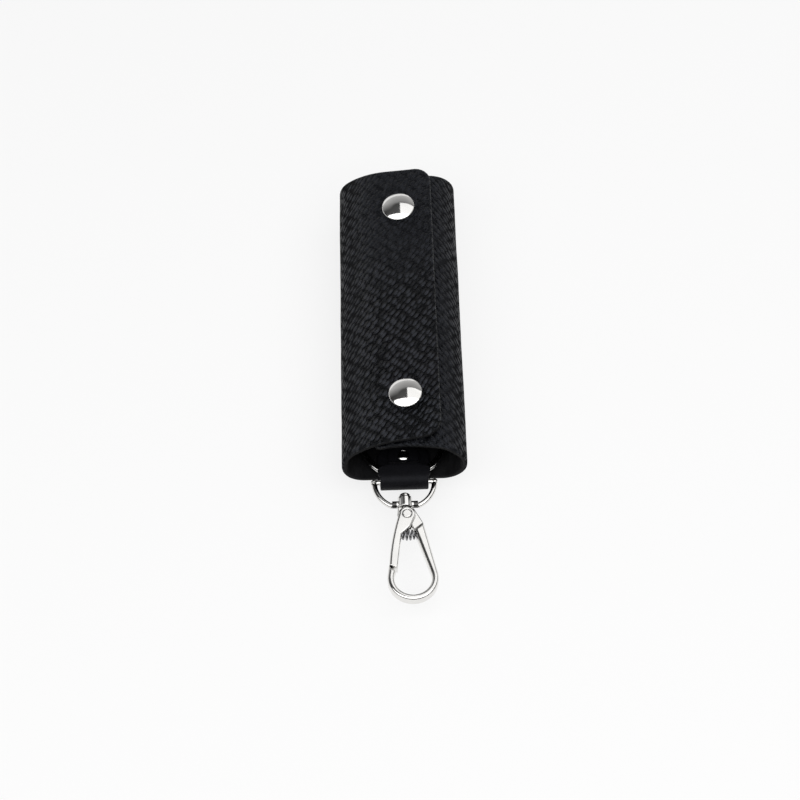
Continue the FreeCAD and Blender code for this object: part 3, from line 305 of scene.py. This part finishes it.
def strap_material():
    """Smooth black strap leather with a very fine grain."""
    material, tree, surface = new_material("strap_leather")
    coords = add(tree, "ShaderNodeUVMap", uv_map="hide").outputs["UV"]
    pores = grain_height(tree, coords, 0.3, 0.5, 1.4)
    broad = clouds(tree, coords, 18.0, 3.0)
    colour = ramp(tree, broad, ((0.3, (0.0022, 0.0022, 0.0028)), (0.7, (0.0042, 0.0042, 0.0054))))
    rough = ramp(tree, broad, ((0.3, 0.56), (0.7, 0.46)))
    bump = add(tree, "ShaderNodeBump", {"Height": pores, "Strength": 0.5, "Distance": 0.00007})
    finish_surface(tree, surface, colour, bump, {"Roughness": rough, "Specular IOR Level": 0.14,
                                                 "Specular Tint": (0.88, 0.9, 1.0, 1.0)})
    return material


def painted_dark_bands(tree, coords, band):
    """Painted dark reflection between two distances from the strap's middle, measured across X in metres."""
    middle, half = (band[0] + band[1]) / 2, (band[1] - band[0]) / 2
    across = add(tree, "ShaderNodeSeparateXYZ", {"Vector": coords}).outputs["X"]
    from_middle = maths(tree, "ABSOLUTE", maths(tree, "SUBTRACT", across, STRAP_X * MM))
    outside = maths(tree, "ABSOLUTE", maths(tree, "SUBTRACT", from_middle, middle))
    return ranged(tree, outside, half - BAND_FADE, half, 0.09, 1.0)


def metal_material(name, colour, roughness, brush, band=None, edge=METAL_EDGE):
    """Plated metal: faint clouding, hairline scratches, painted shade in the crevices and softly rounded
    edges. A band on both sides of the strap's middle can get a painted dark reflection."""
    material, tree, surface = new_material(name)
    coords = add(tree, "ShaderNodeTexCoord").outputs["Object"]
    cloud = clouds(tree, coords, 160.0, 3.0)
    lines = add(tree, "ShaderNodeMapping", {"Vector": coords, "Scale": (300.0, 3500.0, 3500.0)}).outputs[0]
    hair = clouds(tree, lines, 1.0, 2.0)
    dim = tuple(0.9 * value for value in colour)
    tint = ramp(tree, cloud, ((0.3, dim), (0.7, colour)))
    # Painted shade: ambient occlusion darkens the metal's colour in crevices and between parts.
    crevice = add(tree, "ShaderNodeAmbientOcclusion", {"Distance": PAINTED_SHADE_REACH}, samples=12).outputs["AO"]
    painted_crevice_shade = ramp(tree, crevice, ((0.3, 0.04), (0.72, 1.0)))
    tint = mixed_colour(tree, 1.0, tint, painted_crevice_shade, "MULTIPLY")
    # Painted dark reflection: two bands beside the strap's middle are darkened.
    if band:
        tint = mixed_colour(tree, 1.0, tint, painted_dark_bands(tree, coords, band), "MULTIPLY")
    rough = ramp(tree, cloud, ((0.3, roughness), (0.75, roughness * 1.5)))
    rounding = add(tree, "ShaderNodeBevel", {"Radius": edge}, samples=8).outputs["Normal"]
    bump = add(tree, "ShaderNodeBump", {"Height": hair, "Strength": brush, "Distance": 0.00002,
                                        "Normal": rounding})
    finish_surface(tree, surface, tint, bump, {"Roughness": rough, "Metallic": 1.0})
    return material


SUEDE = suede_material()
EDGE = edge_material()
STRAP_LEATHER = strap_material()
NICKEL_COLOUR = (0.83, 0.82, 0.8)
NICKEL = metal_material("bright_nickel", NICKEL_COLOUR, 0.07, 0.12)
LOOP_NICKEL = metal_material("loop_nickel", NICKEL_COLOUR, 0.07, 0.12, band=(0.0029, 0.0047))
STEEL = metal_material("nickel_steel", (0.66, 0.65, 0.63), 0.22, 0.5, edge=0.0002)
SPRING = metal_material("spring_steel", (0.3, 0.3, 0.31), 0.26, 0.5, edge=0.0001)

FINISHES = {
    LOOP_NICKEL: ("swivel_loop",),
    NICKEL: ("snap_caps", "hook_body", "gate", "gate_pivot", "strap_rivet_cap", "split_ring"),
    STEEL: ("snap_sockets", "snap_studs", "snap_posts", "strap_rivet_post", "key_plate", "key_rod",
            "key_rivets", "key_hook_1", "key_hook_2", "key_hook_3", "key_hook_4"),
}
for material, names in FINISHES.items():
    for name in names:
        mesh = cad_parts[name].data
        mesh.materials.clear()
        mesh.materials.append(material)

# Leather wrap: stretches of its section, each a list of points with the outward direction

ARC_STEP = 4.0
FLAT_STEP = 1.0
EDGE_STEPS = (0.0, 0.08, 0.2, 0.38, 0.62, 1.0)
LENGTH_STEP = 1.2
OUTER_ROUND = 0.75
INNER_ROUND = 0.3
FAR_PROUD = 0.5
EASE_RUN = 19.0
EASE_POWER = 1.3
TAPER = 1.75
TAPER_START = 0.33
WIDE_BEND_STEP = 1.5 * FLAT_STEP
SAME_PLACE = 1e-6
PRESS_DEPTH = 0.22
PRESS_REACH = 1.8

# Height of the hide's slow waves in millimetres, and how many there are in a millimetre
SWELLS = ((0.10, 0.07), (0.045, 0.21))

# Material slots of the hide
FACE, FLESH, CUT = 0, 1, 2


def arc_point(centre, radius, angle):
    """Point of a bend with its outward direction."""
    turn = math.radians(angle)
    return on_circle(centre, radius, angle), (math.cos(turn), math.sin(turn))


def arc_stretch(centre, radius, first, last):
    """Bend of the hide; a wide bend takes smaller angles."""
    step = min(ARC_STEP, math.degrees(WIDE_BEND_STEP / radius))
    steps = max(2, round(abs(last - first) / step))
    angles = [first + (last - first) * index / steps for index in range(steps + 1)]
    return [arc_point(centre, radius, angle) for angle in angles]


def fold_stretch(fold, first, last):
    return arc_stretch(*FOLDS[fold], first, last)


def flat_stretch(start, end, edge=False):
    """Straight run; a free edge at its start gets closer points."""
    run = math.hypot(end[0] - start[0], end[1] - start[1])
    along = ((end[0] - start[0]) / run, (end[1] - start[1]) / run)
    places = list(EDGE_STEPS) if edge else [0.0]
    count = max(1, round((run - places[-1]) / FLAT_STEP))
    first = places[-1]
    places += [first + (run - first) * step / count for step in range(1, count + 1)]
    return [((start[0] + along[0] * p, start[1] + along[1] * p), None) for p in places]


def inner_free_stretch():
    """The inner flap's bent end, from its free edge to its flat part, with closer points at the edge."""
    angles = [INNER_END_ANGLE - math.degrees(step / INNER_CROWN) for step in EDGE_STEPS]
    edge = [arc_point(CROWN, INNER_CROWN, angle) for angle in angles[:-1]]
    return edge + arc_stretch(CROWN, INNER_CROWN, angles[-1], TOP_ANGLE)


def join(stretches, side):
    """Points with their outward directions, and the lengths along the section. The side is 1 where outward is
    on the right of the way along it, and -1 where it is on the left."""
    points = []
    for stretch in stretches:
        for point, outward in stretch:
            if points and math.dist(point, points[-1][0]) < SAME_PLACE:
                continue
            points.append([point, outward])
    for index, item in enumerate(points):
        if item[1] is None:
            before = points[max(index - 1, 0)][0]
            after = points[min(index + 1, len(points) - 1)][0]
            run = math.dist(before, after)
            item[1] = (side * (after[1] - before[1]) / run, -side * (after[0] - before[0]) / run)
    lengths = [0.0]
    for index in range(1, len(points)):
        lengths.append(lengths[-1] + math.dist(points[index][0], points[index - 1][0]))
    return points, lengths


def round_off(distance, radius):
    """How far a rounded corner or edge falls back, at a distance from the border."""
    if distance >= radius:
        return 0.0
    return radius - math.sqrt(max(0.0, radius ** 2 - (radius - distance) ** 2))


def end_places(near, far):
    """Places along the length, close together at both ends."""
    inner_near = near + EDGE_STEPS[-1]
    inner_far = far - EDGE_STEPS[-1]
    count = round((2 * HALF_LENGTH - 2 * EDGE_STEPS[-1]) / LENGTH_STEP)
    places = [near + step for step in EDGE_STEPS]
    places += [inner_near + (inner_far - inner_near) * step / count for step in range(1, count)]
    places += [far - step for step in reversed(EDGE_STEPS)]
    return places


def share_between(value, low, high):
    return min(1.0, max(0.0, (value - low) / (high - low)))


def smooth(value, low, high):
    share = share_between(value, low, high)
    return share * share * (3 - 2 * share)


def swell(x, y, z):
    """Slow unevenness of the hide."""
    return sum(height * noise.noise(Vector((x, y, z)) * waves) for height, waves in SWELLS)


def press(x, y):
    """Depth of the hollows that the caps press into the outer flap."""
    depth = 0.0
    for cap_x, cap_y in SNAPS:
        past = max(0.0, math.hypot(x - cap_x, y - cap_y) - CAP_RADIUS)
        depth += PRESS_DEPTH * math.exp(-(past / PRESS_REACH) ** 2)
    return depth


def taper(x, y):
    """Sideways shift of the left side, which stands closer in towards the far end."""
    share = share_between(-x, 0.0, HALF_WIDTH)
    return TAPER * (y + HALF_LENGTH) / (2 * HALF_LENGTH) * share * share - TAPER_START * share * share


def leather_row(point, outward, from_free, corner, ends, pressed):
    """Pairs of an upper and a lower place along the case, at one point of the section."""
    inset = round_off(from_free, corner)
    near, far = ends(point)
    near += inset
    far -= inset
    row = []
    for y in end_places(near, far):
        edge = min(y - near, far - y)
        in_corner = edge + inset
        if inset > 0 and in_corner < corner:
            edge = corner - math.hypot(corner - from_free, corner - in_corner)
        edge = max(0.0, min(edge, from_free))
        hollow = press(point[0], y) if pressed else 0.0
        outer = swell(point[0], y, point[1]) - hollow - round_off(edge, OUTER_ROUND)
        inner = -LEATHER + round_off(edge, INNER_ROUND)
        x = point[0] + taper(point[0], y)
        row.append([(x + outward[0] * offset, y, point[1] + outward[1] * offset)
                    for offset in (outer, inner)])
    return row


def face_maker(bm, place):
    """Function that adds a smooth face, unwrapped by the place of its corners on the hide."""
    uv = bm.loops.layers.uv.new("hide")

    def face(corners, slot):
        made = bm.faces.new(corners)
        made.material_index = slot
        made.smooth = True
        for loop in made.loops:
            loop[uv].uv = place[loop.vert]

    return face


def finished_object(name, bm, materials):
    bmesh.ops.recalc_face_normals(bm, faces=bm.faces)
    mesh = bpy.data.meshes.new(name)
    bm.to_mesh(mesh)
    bm.free()
    for material in materials:
        mesh.materials.append(material)
    item = bpy.data.objects.new(name, mesh)
    bpy.context.scene.collection.objects.link(item)
    return item


def leather_piece(name, line, free_edge, corner, ends, pressed, hide_start, hide_step):
    """Closed strip of hide; open only where the next piece goes on. Its place on the whole hide, in
    millimetres from the outer flap's free edge, is the start plus the step times the length."""
    points, lengths = line
    rows = [leather_row(point, outward, length if free_edge else math.inf, corner, ends, pressed)
            for (point, outward), length in zip(points, lengths)]
    bm = bmesh.new()
    place = {}
    face = face_maker(bm, place)
    tops = [[bm.verts.new([value * MM for value in pair[0]]) for pair in row] for row in rows]
    lows = [[bm.verts.new([value * MM for value in pair[1]]) for pair in row] for row in rows]
    for row, top_row, low_row, length in zip(rows, tops, lows, lengths):
        for pair, top, low in zip(row, top_row, low_row):
            flat = ((hide_start + hide_step * length) * HIDE_UNIT, pair[0][1] * HIDE_UNIT)
            place[top] = flat
            place[low] = flat
    last = len(rows[0]) - 1
    for i in range(len(rows) - 1):
        for j in range(last):
            face((tops[i][j], tops[i][j + 1], tops[i + 1][j + 1], tops[i + 1][j]), FACE)
            face((lows[i][j], lows[i + 1][j], lows[i + 1][j + 1], lows[i][j + 1]), FLESH)
        face((tops[i][0], tops[i + 1][0], lows[i + 1][0], lows[i][0]), CUT)
        face((tops[i][last], lows[i][last], lows[i + 1][last], tops[i + 1][last]), CUT)
    if free_edge:
        for j in range(last):
            face((tops[0][j], lows[0][j], lows[0][j + 1], tops[0][j + 1]), CUT)
    piece = finished_object(name, bm, (LEATHER_FACE, SUEDE, EDGE))
    return piece


def outer_ends(point):
    """Ends of the outer wall and flap: the near one leans back, the far one stands a little proud."""
    wall = WALL_HEAD[1] - WALL_FOOT[1]
    run = wall * share_between(point[1], WALL_FOOT[1], WALL_HEAD[1])
    if point[1] > WALL_HEAD[1]:
        run += point[0] - WALL_HEAD[0]
    share = run / (wall + FLAP_EDGE[0] - WALL_HEAD[0])
    return -HALF_LENGTH + share * FLAP_SETBACK, HALF_LENGTH + share * FAR_PROUD


def inner_ends(point):
    """Ends of the inner wall and flap; the flap's near edge eases back from the fold."""
    if point[0] > 0 and point[1] < INNER_HEAD[1]:
        return -HALF_LENGTH, HALF_LENGTH
    share = share_between(INNER_HEAD[0] - point[0], 0.0, EASE_RUN)
    return -HALF_LENGTH + INNER_SETBACK * (1 - (1 - share) ** EASE_POWER), HALF_LENGTH


LEFT_SEAM = (-HALF_WIDTH, 8.85)
RIGHT_SEAM = (HALF_WIDTH, 9.6)
BACK_SEAM = (0.0, 0.0)

flap_line = join([flat_stretch(FLAP_EDGE, on_circle(CROWN, CROWN_RADIUS, TOP_ANGLE), edge=True),
                  arc_stretch(CROWN, CROWN_RADIUS, TOP_ANGLE, SHOULDER_ANGLE),
                  fold_stretch("upper_left", SHOULDER_ANGLE, 180),
                  flat_stretch(fold_point("upper_left", 180), LEFT_SEAM)], 1)
left_line = join([flat_stretch(LEFT_SEAM, fold_point("lower_left", 180)),
                  fold_stretch("lower_left", 180, 270),
                  flat_stretch(fold_point("lower_left", 270), BACK_SEAM)], 1)
right_line = join([flat_stretch(RIGHT_SEAM, fold_point("lower_right", 0)),
                   fold_stretch("lower_right", 360, 270),
                   flat_stretch(fold_point("lower_right", 270), BACK_SEAM)], -1)
inner_line = join([inner_free_stretch(),
                   flat_stretch(on_circle(CROWN, INNER_CROWN, TOP_ANGLE),
                                fold_point("upper_right", TOP_ANGLE)),
                   fold_stretch("upper_right", TOP_ANGLE, 0),
                   flat_stretch(fold_point("upper_right", 0), RIGHT_SEAM)], -1)

flap_end = flap_line[1][-1]
back_middle = flap_end + left_line[1][-1]
right_end = back_middle + right_line[1][-1]
hide_end = right_end + inner_line[1][-1]
LEATHER_FACE = leather_material("pebbled_leather", back_middle * HIDE_UNIT, hide_end * HIDE_UNIT)

outer_flap = leather_piece("outer_flap_hide", flap_line, True, FLAP_CORNER, outer_ends, True, 0.0, 1)
left_side = leather_piece("left_side_hide", left_line, False, 0.0, outer_ends, False, flap_end, 1)
right_side = leather_piece("right_side_hide", right_line, False, 0.0, inner_ends, False, right_end, -1)
inner_flap = leather_piece("inner_flap_hide", inner_line, True, INNER_CORNER, inner_ends, False, hide_end, -1)

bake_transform(outer_flap)
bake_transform(left_side)
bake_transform(right_side)
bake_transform(inner_flap)
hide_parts("outer_flap")
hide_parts("outer_wall")
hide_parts("inner_wall", "back_panel")
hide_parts("inner_flap")

# Strap: one strip folded round the loop's bar, its tail stepping down to the rivet

STRAP = {"thickness": 1.4, "wide": 18.8, "fold": 17.2, "tail": 11.0, "end": 11.5, "hump_end": 1.4,
         "corner": 4.0, "edge_round": 0.4, "unevenness": 0.05, "gap": 0.05}
STRAP_FOLD = (-2.6, 4.771)
STRAP_FOLD_RADIUS = 3.0
STRAP_DIP = 30.0
STRAP_DESCENT = 60.0
STRAP_BEND = 1.3
STRAP_STEP = 0.4
STRAP_LOW = LEATHER + STRAP["thickness"] / 2
STRAP_TAIL = LEATHER + 1.5 * STRAP["thickness"] + STRAP["gap"]

# Eased corner where the lower layer dips to the fold: run before the corner and drop
STRAP_EASE = ((1.2, 0.0), (0.35, 0.03), (-0.5, 0.32))

# Runs over which the strap is drawn in to the fold's width and, past the hump's end, to the tail's width
STRAP_DRAW_IN = (2.0, 3.4)
STRAP_NARROWING = (-0.9, 0.5)

# Shares of the half width at which the strap has points
STRAP_ACROSS = (0.0, 0.25, 0.5, 0.75, 0.9, 0.955, 0.985, 1.0)


def turn_points(centre, radius, first, last):
    steps = max(3, round(math.radians(abs(last - first)) * radius / STRAP_STEP))
    return [on_circle(centre, radius, first + (last - first) * step / steps) for step in range(steps + 1)]


def strap_path():
    """Middle of the strap's thickness, from the lower end round the fold to the tail."""
    fold = turn_points(STRAP_FOLD, STRAP_FOLD_RADIUS, 270 + STRAP_DIP, 90)
    dip = math.radians(STRAP_DIP)
    meet = fold[0][0] + (STRAP_LOW - fold[0][1]) / math.tan(dip)
    lower = [(STRAP["end"], STRAP_LOW)] + [(meet + run, STRAP_LOW - drop) for run, drop in STRAP_EASE]
    turn = math.radians(STRAP_DESCENT)
    top_centre = (STRAP["hump_end"], STRAP_FOLD[1] + STRAP_FOLD_RADIUS - STRAP_BEND)
    over = turn_points(top_centre, STRAP_BEND, 90, 90 - STRAP_DESCENT)
    drop = (over[-1][1] - STRAP_TAIL - STRAP_BEND * (1 - math.cos(turn))) / math.sin(turn)
    foot = (over[-1][0] + drop * math.cos(turn), over[-1][1] - drop * math.sin(turn))
    low_centre = (foot[0] + STRAP_BEND * math.sin(turn), foot[1] + STRAP_BEND * math.cos(turn))
    under = turn_points(low_centre, STRAP_BEND, 270 - STRAP_DESCENT, 270)
    return lower + fold + over + under + [(STRAP["end"], STRAP_TAIL)]


def spaced(path, step):
    """Points at even steps along a path, with their lengths along it, and the whole length."""
    lengths = [0.0]
    for before, after in zip(path, path[1:]):
        lengths.append(lengths[-1] + math.dist(before, after))
    count = round(lengths[-1] / step)
    places = []
    segment = 0
    for index in range(count + 1):
        want = lengths[-1] * index / count
        while segment < len(path) - 2 and lengths[segment + 1] < want:
            segment += 1
        run = lengths[segment + 1] - lengths[segment]
        share = (want - lengths[segment]) / run
        a, b = path[segment], path[segment + 1]
        places.append(((a[0] + (b[0] - a[0]) * share, a[1] + (b[1] - a[1]) * share), want))
    return places, lengths[-1]


def strap_half_width(length, total, point):
    """Half the strap's width: drawn in at the fold, narrow along the tail, rounded at both ends."""
    wide = STRAP["wide"] / 2
    half = wide + (STRAP["fold"] / 2 - wide) * smooth(-point[0], *STRAP_DRAW_IN)
    if length > total / 2:
        half += (STRAP["tail"] / 2 - half) * smooth(point[0] - STRAP["hump_end"], *STRAP_NARROWING)
    return half - round_off(min(length, total - length), STRAP["corner"])


def strap_piece():
    places, total = spaced(strap_path(), STRAP_STEP)
    across = [-share for share in reversed(STRAP_ACROSS[1:])] + list(STRAP_ACROSS)
    bm = bmesh.new()
    tops, lows, place = [], [], {}
    face = face_maker(bm, place)
    for index, (point, length) in enumerate(places):
        before = places[max(index - 1, 0)][0]
        after = places[min(index + 1, len(places) - 1)][0]
        run = math.dist(before, after)
        normal = ((after[1] - before[1]) / run, -(after[0] - before[0]) / run)
        half = strap_half_width(length, total, point)
        top_row, low_row = [], []
        for share in across:
            edge = min(half * (1 - abs(share)), length, total - length)
            thick = STRAP["thickness"] / 2 - round_off(edge, STRAP["edge_round"])
            sag = STRAP["unevenness"] * noise.noise(Vector((share * half * 0.25, length * 0.3, 4.0)))
            for row, side in ((top_row, -1), (low_row, 1)):
                offset = side * thick + sag
                vert = bm.verts.new(((STRAP_X + share * half) * MM,
                                     (point[0] + normal[0] * offset - HALF_LENGTH) * MM,
                                     (point[1] + normal[1] * offset) * MM))
                place[vert] = (share * half * HIDE_UNIT, length * HIDE_UNIT)
                row.append(vert)
        tops.append(top_row)
        lows.append(low_row)
    leather, cut = 0, 1
    last = len(across) - 1
    for i in range(len(places) - 1):
        for j in range(last):
            face((tops[i][j], tops[i + 1][j], tops[i + 1][j + 1], tops[i][j + 1]), leather)
            face((lows[i][j], lows[i][j + 1], lows[i + 1][j + 1], lows[i + 1][j]), leather)
        for j in (0, last):
            face((tops[i][j], lows[i][j], lows[i + 1][j], tops[i + 1][j]), cut)
    for i in (0, len(places) - 1):
        for j in range(last):
            face((tops[i][j], tops[i][j + 1], lows[i][j + 1], lows[i][j]), cut)
    return finished_object("strap_hide", bm, (STRAP_LEATHER, EDGE))


strap = strap_piece()
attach(strap, "case")
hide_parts("hang_strap")

# Gate spring: a barrel coil between the gate and the hook

SPRING_ENDS = (-2.6, 3.2)
SPRING_AXIS = (-84.907, 4.064)
SPRING_RADIUS = 1.25
SPRING_BARREL = 0.5
SPRING_WIRE = 0.33
SPRING_TURNS = 4
SPRING_STEPS = 128
SPRING_SIDES = 10


def spring_place(share):
    """Middle of the wire at a share of its turns."""
    turn = 2 * math.pi * SPRING_TURNS * share
    reach = SPRING_RADIUS + SPRING_BARREL * math.sin(math.pi * share)
    run = SPRING_ENDS[1] - SPRING_ENDS[0] - 2 * SPRING_WIRE
    return Vector((SPRING_ENDS[0] + SPRING_WIRE + run * share, SPRING_AXIS[0] + reach * math.cos(turn),
                   SPRING_AXIS[1] + reach * math.sin(turn)))


def spring_ring(bm, share):
    """Ring of points round the wire at a share of its turns."""
    nudge = 0.002
    place = spring_place(share)
    along = (spring_place(share + nudge) - spring_place(share - nudge)).normalized()
    outward = Vector((0.0, place.y - SPRING_AXIS[0], place.z - SPRING_AXIS[1])).normalized()
    side = along.cross(outward).normalized()
    outward = side.cross(along)
    ring = []
    for corner in range(SPRING_SIDES):
        turn = 2 * math.pi * corner / SPRING_SIDES
        reach = (outward * math.cos(turn) + side * math.sin(turn)) * SPRING_WIRE
        ring.append(bm.verts.new((place + reach) * MM))
    return ring


def spring_piece():
    bm = bmesh.new()
    rings = [spring_ring(bm, step / SPRING_STEPS) for step in range(SPRING_STEPS + 1)]
    for before, after in zip(rings, rings[1:]):
        for corner in range(SPRING_SIDES):
            following = (corner + 1) % SPRING_SIDES
            bm.faces.new((before[corner], before[following], after[following], after[corner])).smooth = True
    bm.faces.new(rings[0])
    bm.faces.new(rings[-1])
    return finished_object("gate_coil", bm, (SPRING,))


coil = spring_piece()
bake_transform(coil)
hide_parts("gate_spring")

# Floor, light and camera

FLOOR_WHITE = 0.8
FLOOR_SIZE = 12.0

# As low as the caps of the opened flap reach, in metres, so that the floor hides no flap
FLOOR_DROP = 0.0083


def seen_rays(tree):
    """One for camera, glossy and transmitted rays, which see the background as white."""
    path = add(tree, "ShaderNodeLightPath").outputs
    both = maths(tree, "MAXIMUM", path["Is Camera Ray"], path["Is Glossy Ray"])
    return maths(tree, "MAXIMUM", both, path["Is Transmission Ray"])


def floor_material():
    """Pale matt sheet, mostly white to the eye, that still takes a faint shadow."""
    material, tree, surface = new_material("pale_floor")
    coords = add(tree, "ShaderNodeTexCoord").outputs["Object"]
    colour = ramp(tree, clouds(tree, coords, 3.0, 2.0), ((0.3, 0.9), (0.7, 0.92)))
    tree.links.new(colour, surface.inputs["Base Color"])
    surface.inputs["Roughness"].default_value = 0.9
    surface.inputs["Specular IOR Level"].default_value = 0.1
    white = add(tree, "ShaderNodeEmission")
    share = maths(tree, "MULTIPLY", seen_rays(tree), FLOOR_WHITE)
    mixed = add(tree, "ShaderNodeMixShader", {0: share, 1: surface.outputs["BSDF"], 2: white.outputs[0]})
    output = [node for node in tree.nodes if node.type == "OUTPUT_MATERIAL"][0]
    tree.links.new(mixed.outputs[0], output.inputs["Surface"])
    return material


def floor_sheet():
    half = FLOOR_SIZE / 2
    corners = [(-half, -half, 0), (half, -half, 0), (half, half, 0), (-half, half, 0)]
    mesh = bpy.data.meshes.new("floor")
    mesh.from_pydata(corners, [], [(0, 1, 2, 3)])
    mesh.materials.append(floor_material())
    item = bpy.data.objects.new("floor", mesh)
    item.location = (0, 0, -FLOOR_DROP)
    bpy.context.scene.collection.objects.link(item)


floor_sheet()


def soft_light(name, place, size, radiance):
    """Rectangular lamp that points down, with the radiance of its face."""
    data = bpy.data.lights.new(name, "AREA")
    data.shape = "RECTANGLE"
    data.size, data.size_y = size
    data.energy = radiance * math.pi * size[0] * size[1]
    lamp = bpy.data.objects.new(name, data)
    lamp.location = place
    lamp.visible_camera = False
    bpy.context.scene.collection.objects.link(lamp)


soft_light("overhead_softbox", (-0.1, -0.48, 0.85), (2.0, 0.82), 2.2)
soft_light("right_panel", (0.585, 0.32, 0.87), (1.23, 0.78), 1.1)


def studio_world():
    """Dim room with a pale wall behind and a white band low all round, which the floor runs into."""
    world = bpy.data.worlds.new("studio")
    world.use_nodes = True
    tree = world.node_tree
    tree.nodes.clear()
    direction = add(tree, "ShaderNodeTexCoord").outputs["Generated"]
    parts = add(tree, "ShaderNodeSeparateXYZ", {"Vector": direction}).outputs
    room = ramp(tree, parts["Z"], ((0.145, 0.97), (0.165, 0.03), (0.7, 0.06), (1.0, 0.08)))
    wall = ramp(tree, parts["Z"], ((0.145, 0.97), (0.165, 0.54), (0.7, 0.28), (0.8, 0.07)))
    behind = ramp(tree, parts["Y"], ((0.25, 0.0), (0.7, 1.0)))
    tent = mixed_colour(tree, behind, room, wall)
    shade = add(tree, "ShaderNodeBackground", {"Color": tent, "Strength": 1.0})
    tree.links.new(shade.outputs[0], add(tree, "ShaderNodeOutputWorld").inputs["Surface"])
    return world


bpy.context.scene.world = studio_world()

# The photograph's camera, with the place that it looks at in metres
CENTRE = Vector((-0.0009, -0.0309, 0.0077))
AZIMUTH = math.radians(-1.83)
ELEVATION = math.radians(58.16)
DISTANCE = 1.047
FOCAL_LENGTH = 130.0
SENSOR_WIDTH = 36.0
CLIP = (0.01, 50.0)


def photo_camera():
    level = math.cos(ELEVATION)
    back = Vector((math.sin(AZIMUTH) * level, -math.cos(AZIMUTH) * level, math.sin(ELEVATION)))
    lens = bpy.data.cameras.new("camera")
    lens.lens = FOCAL_LENGTH
    lens.sensor_width = SENSOR_WIDTH
    lens.clip_start, lens.clip_end = CLIP
    camera = bpy.data.objects.new("camera", lens)
    camera.location = CENTRE + back * DISTANCE
    camera.rotation_mode = "QUATERNION"
    camera.rotation_quaternion = (-back).to_track_quat("-Z", "Y")
    bpy.context.scene.collection.objects.link(camera)
    return camera


bpy.context.scene.camera = photo_camera()
bpy.context.scene.view_settings.view_transform = "Standard"
